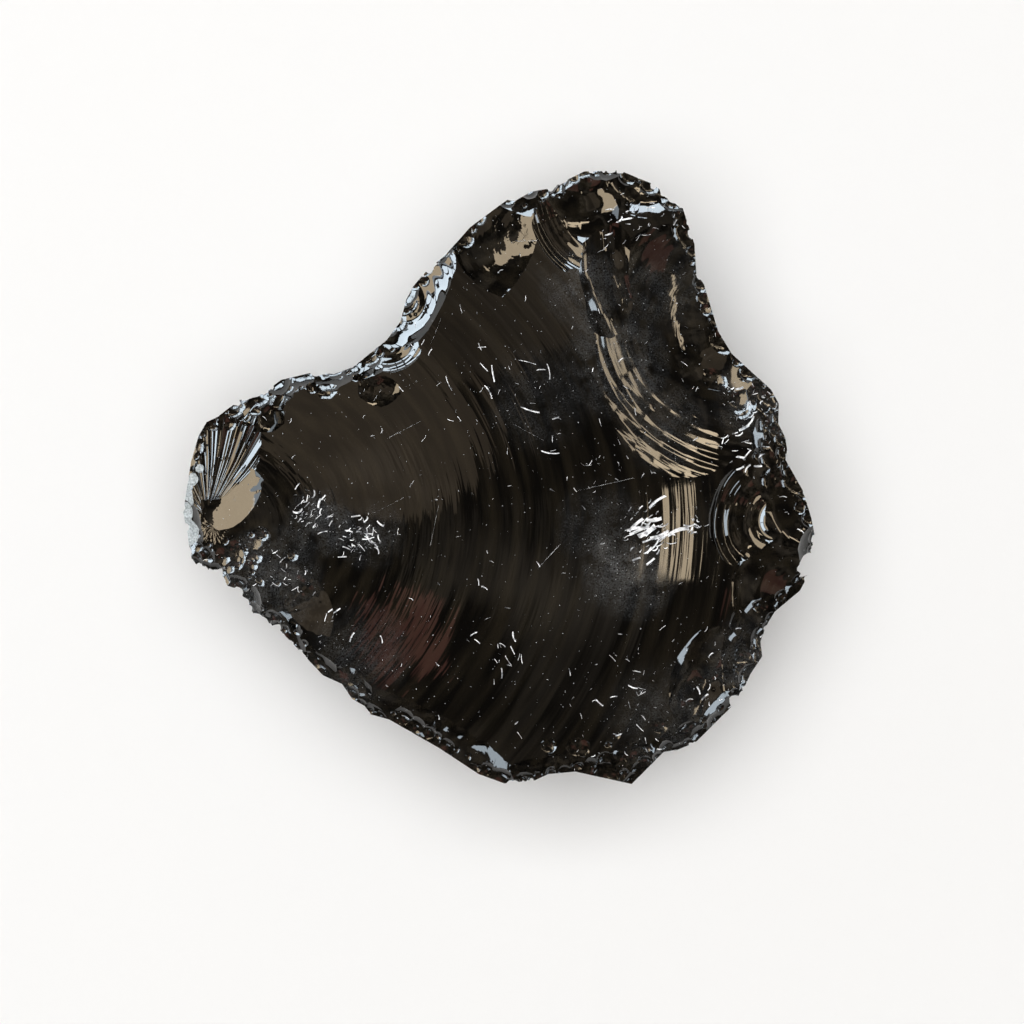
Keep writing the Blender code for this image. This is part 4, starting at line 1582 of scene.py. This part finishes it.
def ceiling_card(name, across, along, colour, radiance, shape="RECTANGLE"):
    """A card in the ceiling, from one x to another and from one y to another."""
    middle = (sum(across) / 2.0, sum(along) / 2.0, CEILING)
    size = (across[1] - across[0], along[1] - along[0])
    return card(name, middle, size, colour, radiance, shape=shape)


def round_card(name, bearing, height, half_width, half_height, colour, radiance):
    """A card out on a dome, facing the stone. All four sizes are angles, seen from the stone."""
    level = math.cos(math.radians(height))
    toward = Vector((
        level * math.cos(math.radians(bearing)), level * math.sin(math.radians(bearing)),
        math.sin(math.radians(height)),
    ))
    size = [2.0 * DOME * math.tan(math.radians(half)) for half in (half_width, half_height)]
    return card(name, tuple(toward * DOME), size, colour, radiance, aim=(0.0, 0.0, 0.0))


def window(name, bearing, height, half_width, half_height, across, up, radiance):
    """A window of several panes, with dark bars between them."""
    wide = half_width / across
    tall = half_height / up
    for column in range(across):
        for row in range(up):
            aside = bearing + (2 * column + 1 - across) * wide
            above = height + (2 * row + 1 - up) * tall
            pane = f"{name}_{column}{row}"
            round_card(pane, aside, above, wide * GLAZED, tall * GLAZED, SKY, radiance)


print("cards can be hung")

# %% Hang them
KEY_RADIANCE = 3.3
TROUGH_CARDS = [  # bearing, height and radiance
    (-4.0, 27.0, 5.0), (14.0, 31.0, 7.0), (32.0, 35.0, 7.0), (50.0, 40.0, 9.0), (68.0, 44.0, 12.0),
    (86.0, 47.0, 14.0),
]
TROUGH_HALF = (7.5, 1.7)
key = soft_box("key", (-150.0, 150.0, 1700.0), (2000.0, 2000.0), WHITE, KEY_RADIANCE)
key.visible_glossy = False
ceiling_card("warm_card", (-640.0, -20.0), (-75.0, 400.0), GREY_BROWN, 0.52, "ELLIPSE")
ceiling_card("upper_card", (-330.0, 150.0), (290.0, 560.0), GREY_BROWN, 0.25, "ELLIPSE")
ceiling_card("brown_card", (-380.0, -290.0), (-450.0, -290.0), RED_BROWN, 0.8)
ceiling_card("second_brown_card", (-262.0, -160.0), (-430.0, -250.0), RED_BROWN, 0.9)
ceiling_card("bevel_card", (-900.0, -200.0), (-1400.0, -640.0), RED_BROWN, 0.7)
ceiling_card("strip_card", (255.0, 300.0), (-215.0, 20.0), TAN, 9.0)
ceiling_card("left_card", (-1800.0, -800.0), (-260.0, 900.0), TAN, 8.0)
ceiling_card("red_card", (420.0, 900.0), (-700.0, -250.0), RED_BROWN, 0.5)
ceiling_card("mauve_card", (560.0, 720.0), (-620.0, -330.0), MAUVE, 2.2)
for number, (bearing, height, radiance) in enumerate(TROUGH_CARDS):
    round_card(f"trough_card_{number}", bearing, height, *TROUGH_HALF, TAN, radiance)
window("left_window", 156.0, 18.0, 30.0, 15.0, 3, 1, 19.0)
window("back_window", 98.0, 18.0, 26.0, 13.0, 3, 1, 17.0)
round_card("left_blind", 168.0, 37.0, 18.0, 2.5, SKY, 5.0)
round_card("right_window", 4.0, 17.0, 12.0, 5.0, SKY, 10.0)
round_card("right_front_window", -42.0, 20.0, 9.0, 4.0, SKY, 10.0)
round_card("left_front_window", -128.0, 22.0, 8.0, 3.0, SKY, 8.0)

# %% [markdown]
# ## The room
#
# A real room is never even. A soft mottle stands in for its walls and furniture, so that the calm
# parts of the glass aren't plain black.

# %% The room
ROOM_DIM = (0.010, 0.009, 0.007)
ROOM_LIT = (0.52, 0.44, 0.34)
world = bpy.data.worlds.new("studio")
bpy.context.scene.world = world
world.use_nodes = True
room = world.node_tree
aside, along, above = split(room, out(add_node(room, "ShaderNodeTexCoord"), "Generated"))
MOTTLE = (5.0, 4.0, 2.0)  # how fine, then the gain and the start
scale, gain, start = MOTTLE
mottle = noise_field(room, scale, aside, along, above, detail=2.0)
mottle = (mottle * gain - start).maths("ADD", 0.0, clamp=True)
feed(room, room.nodes["Background"].inputs["Color"], mix_colour(room, mottle, ROOM_DIM, ROOM_LIT))
print("the room has", len(room.nodes), "nodes")
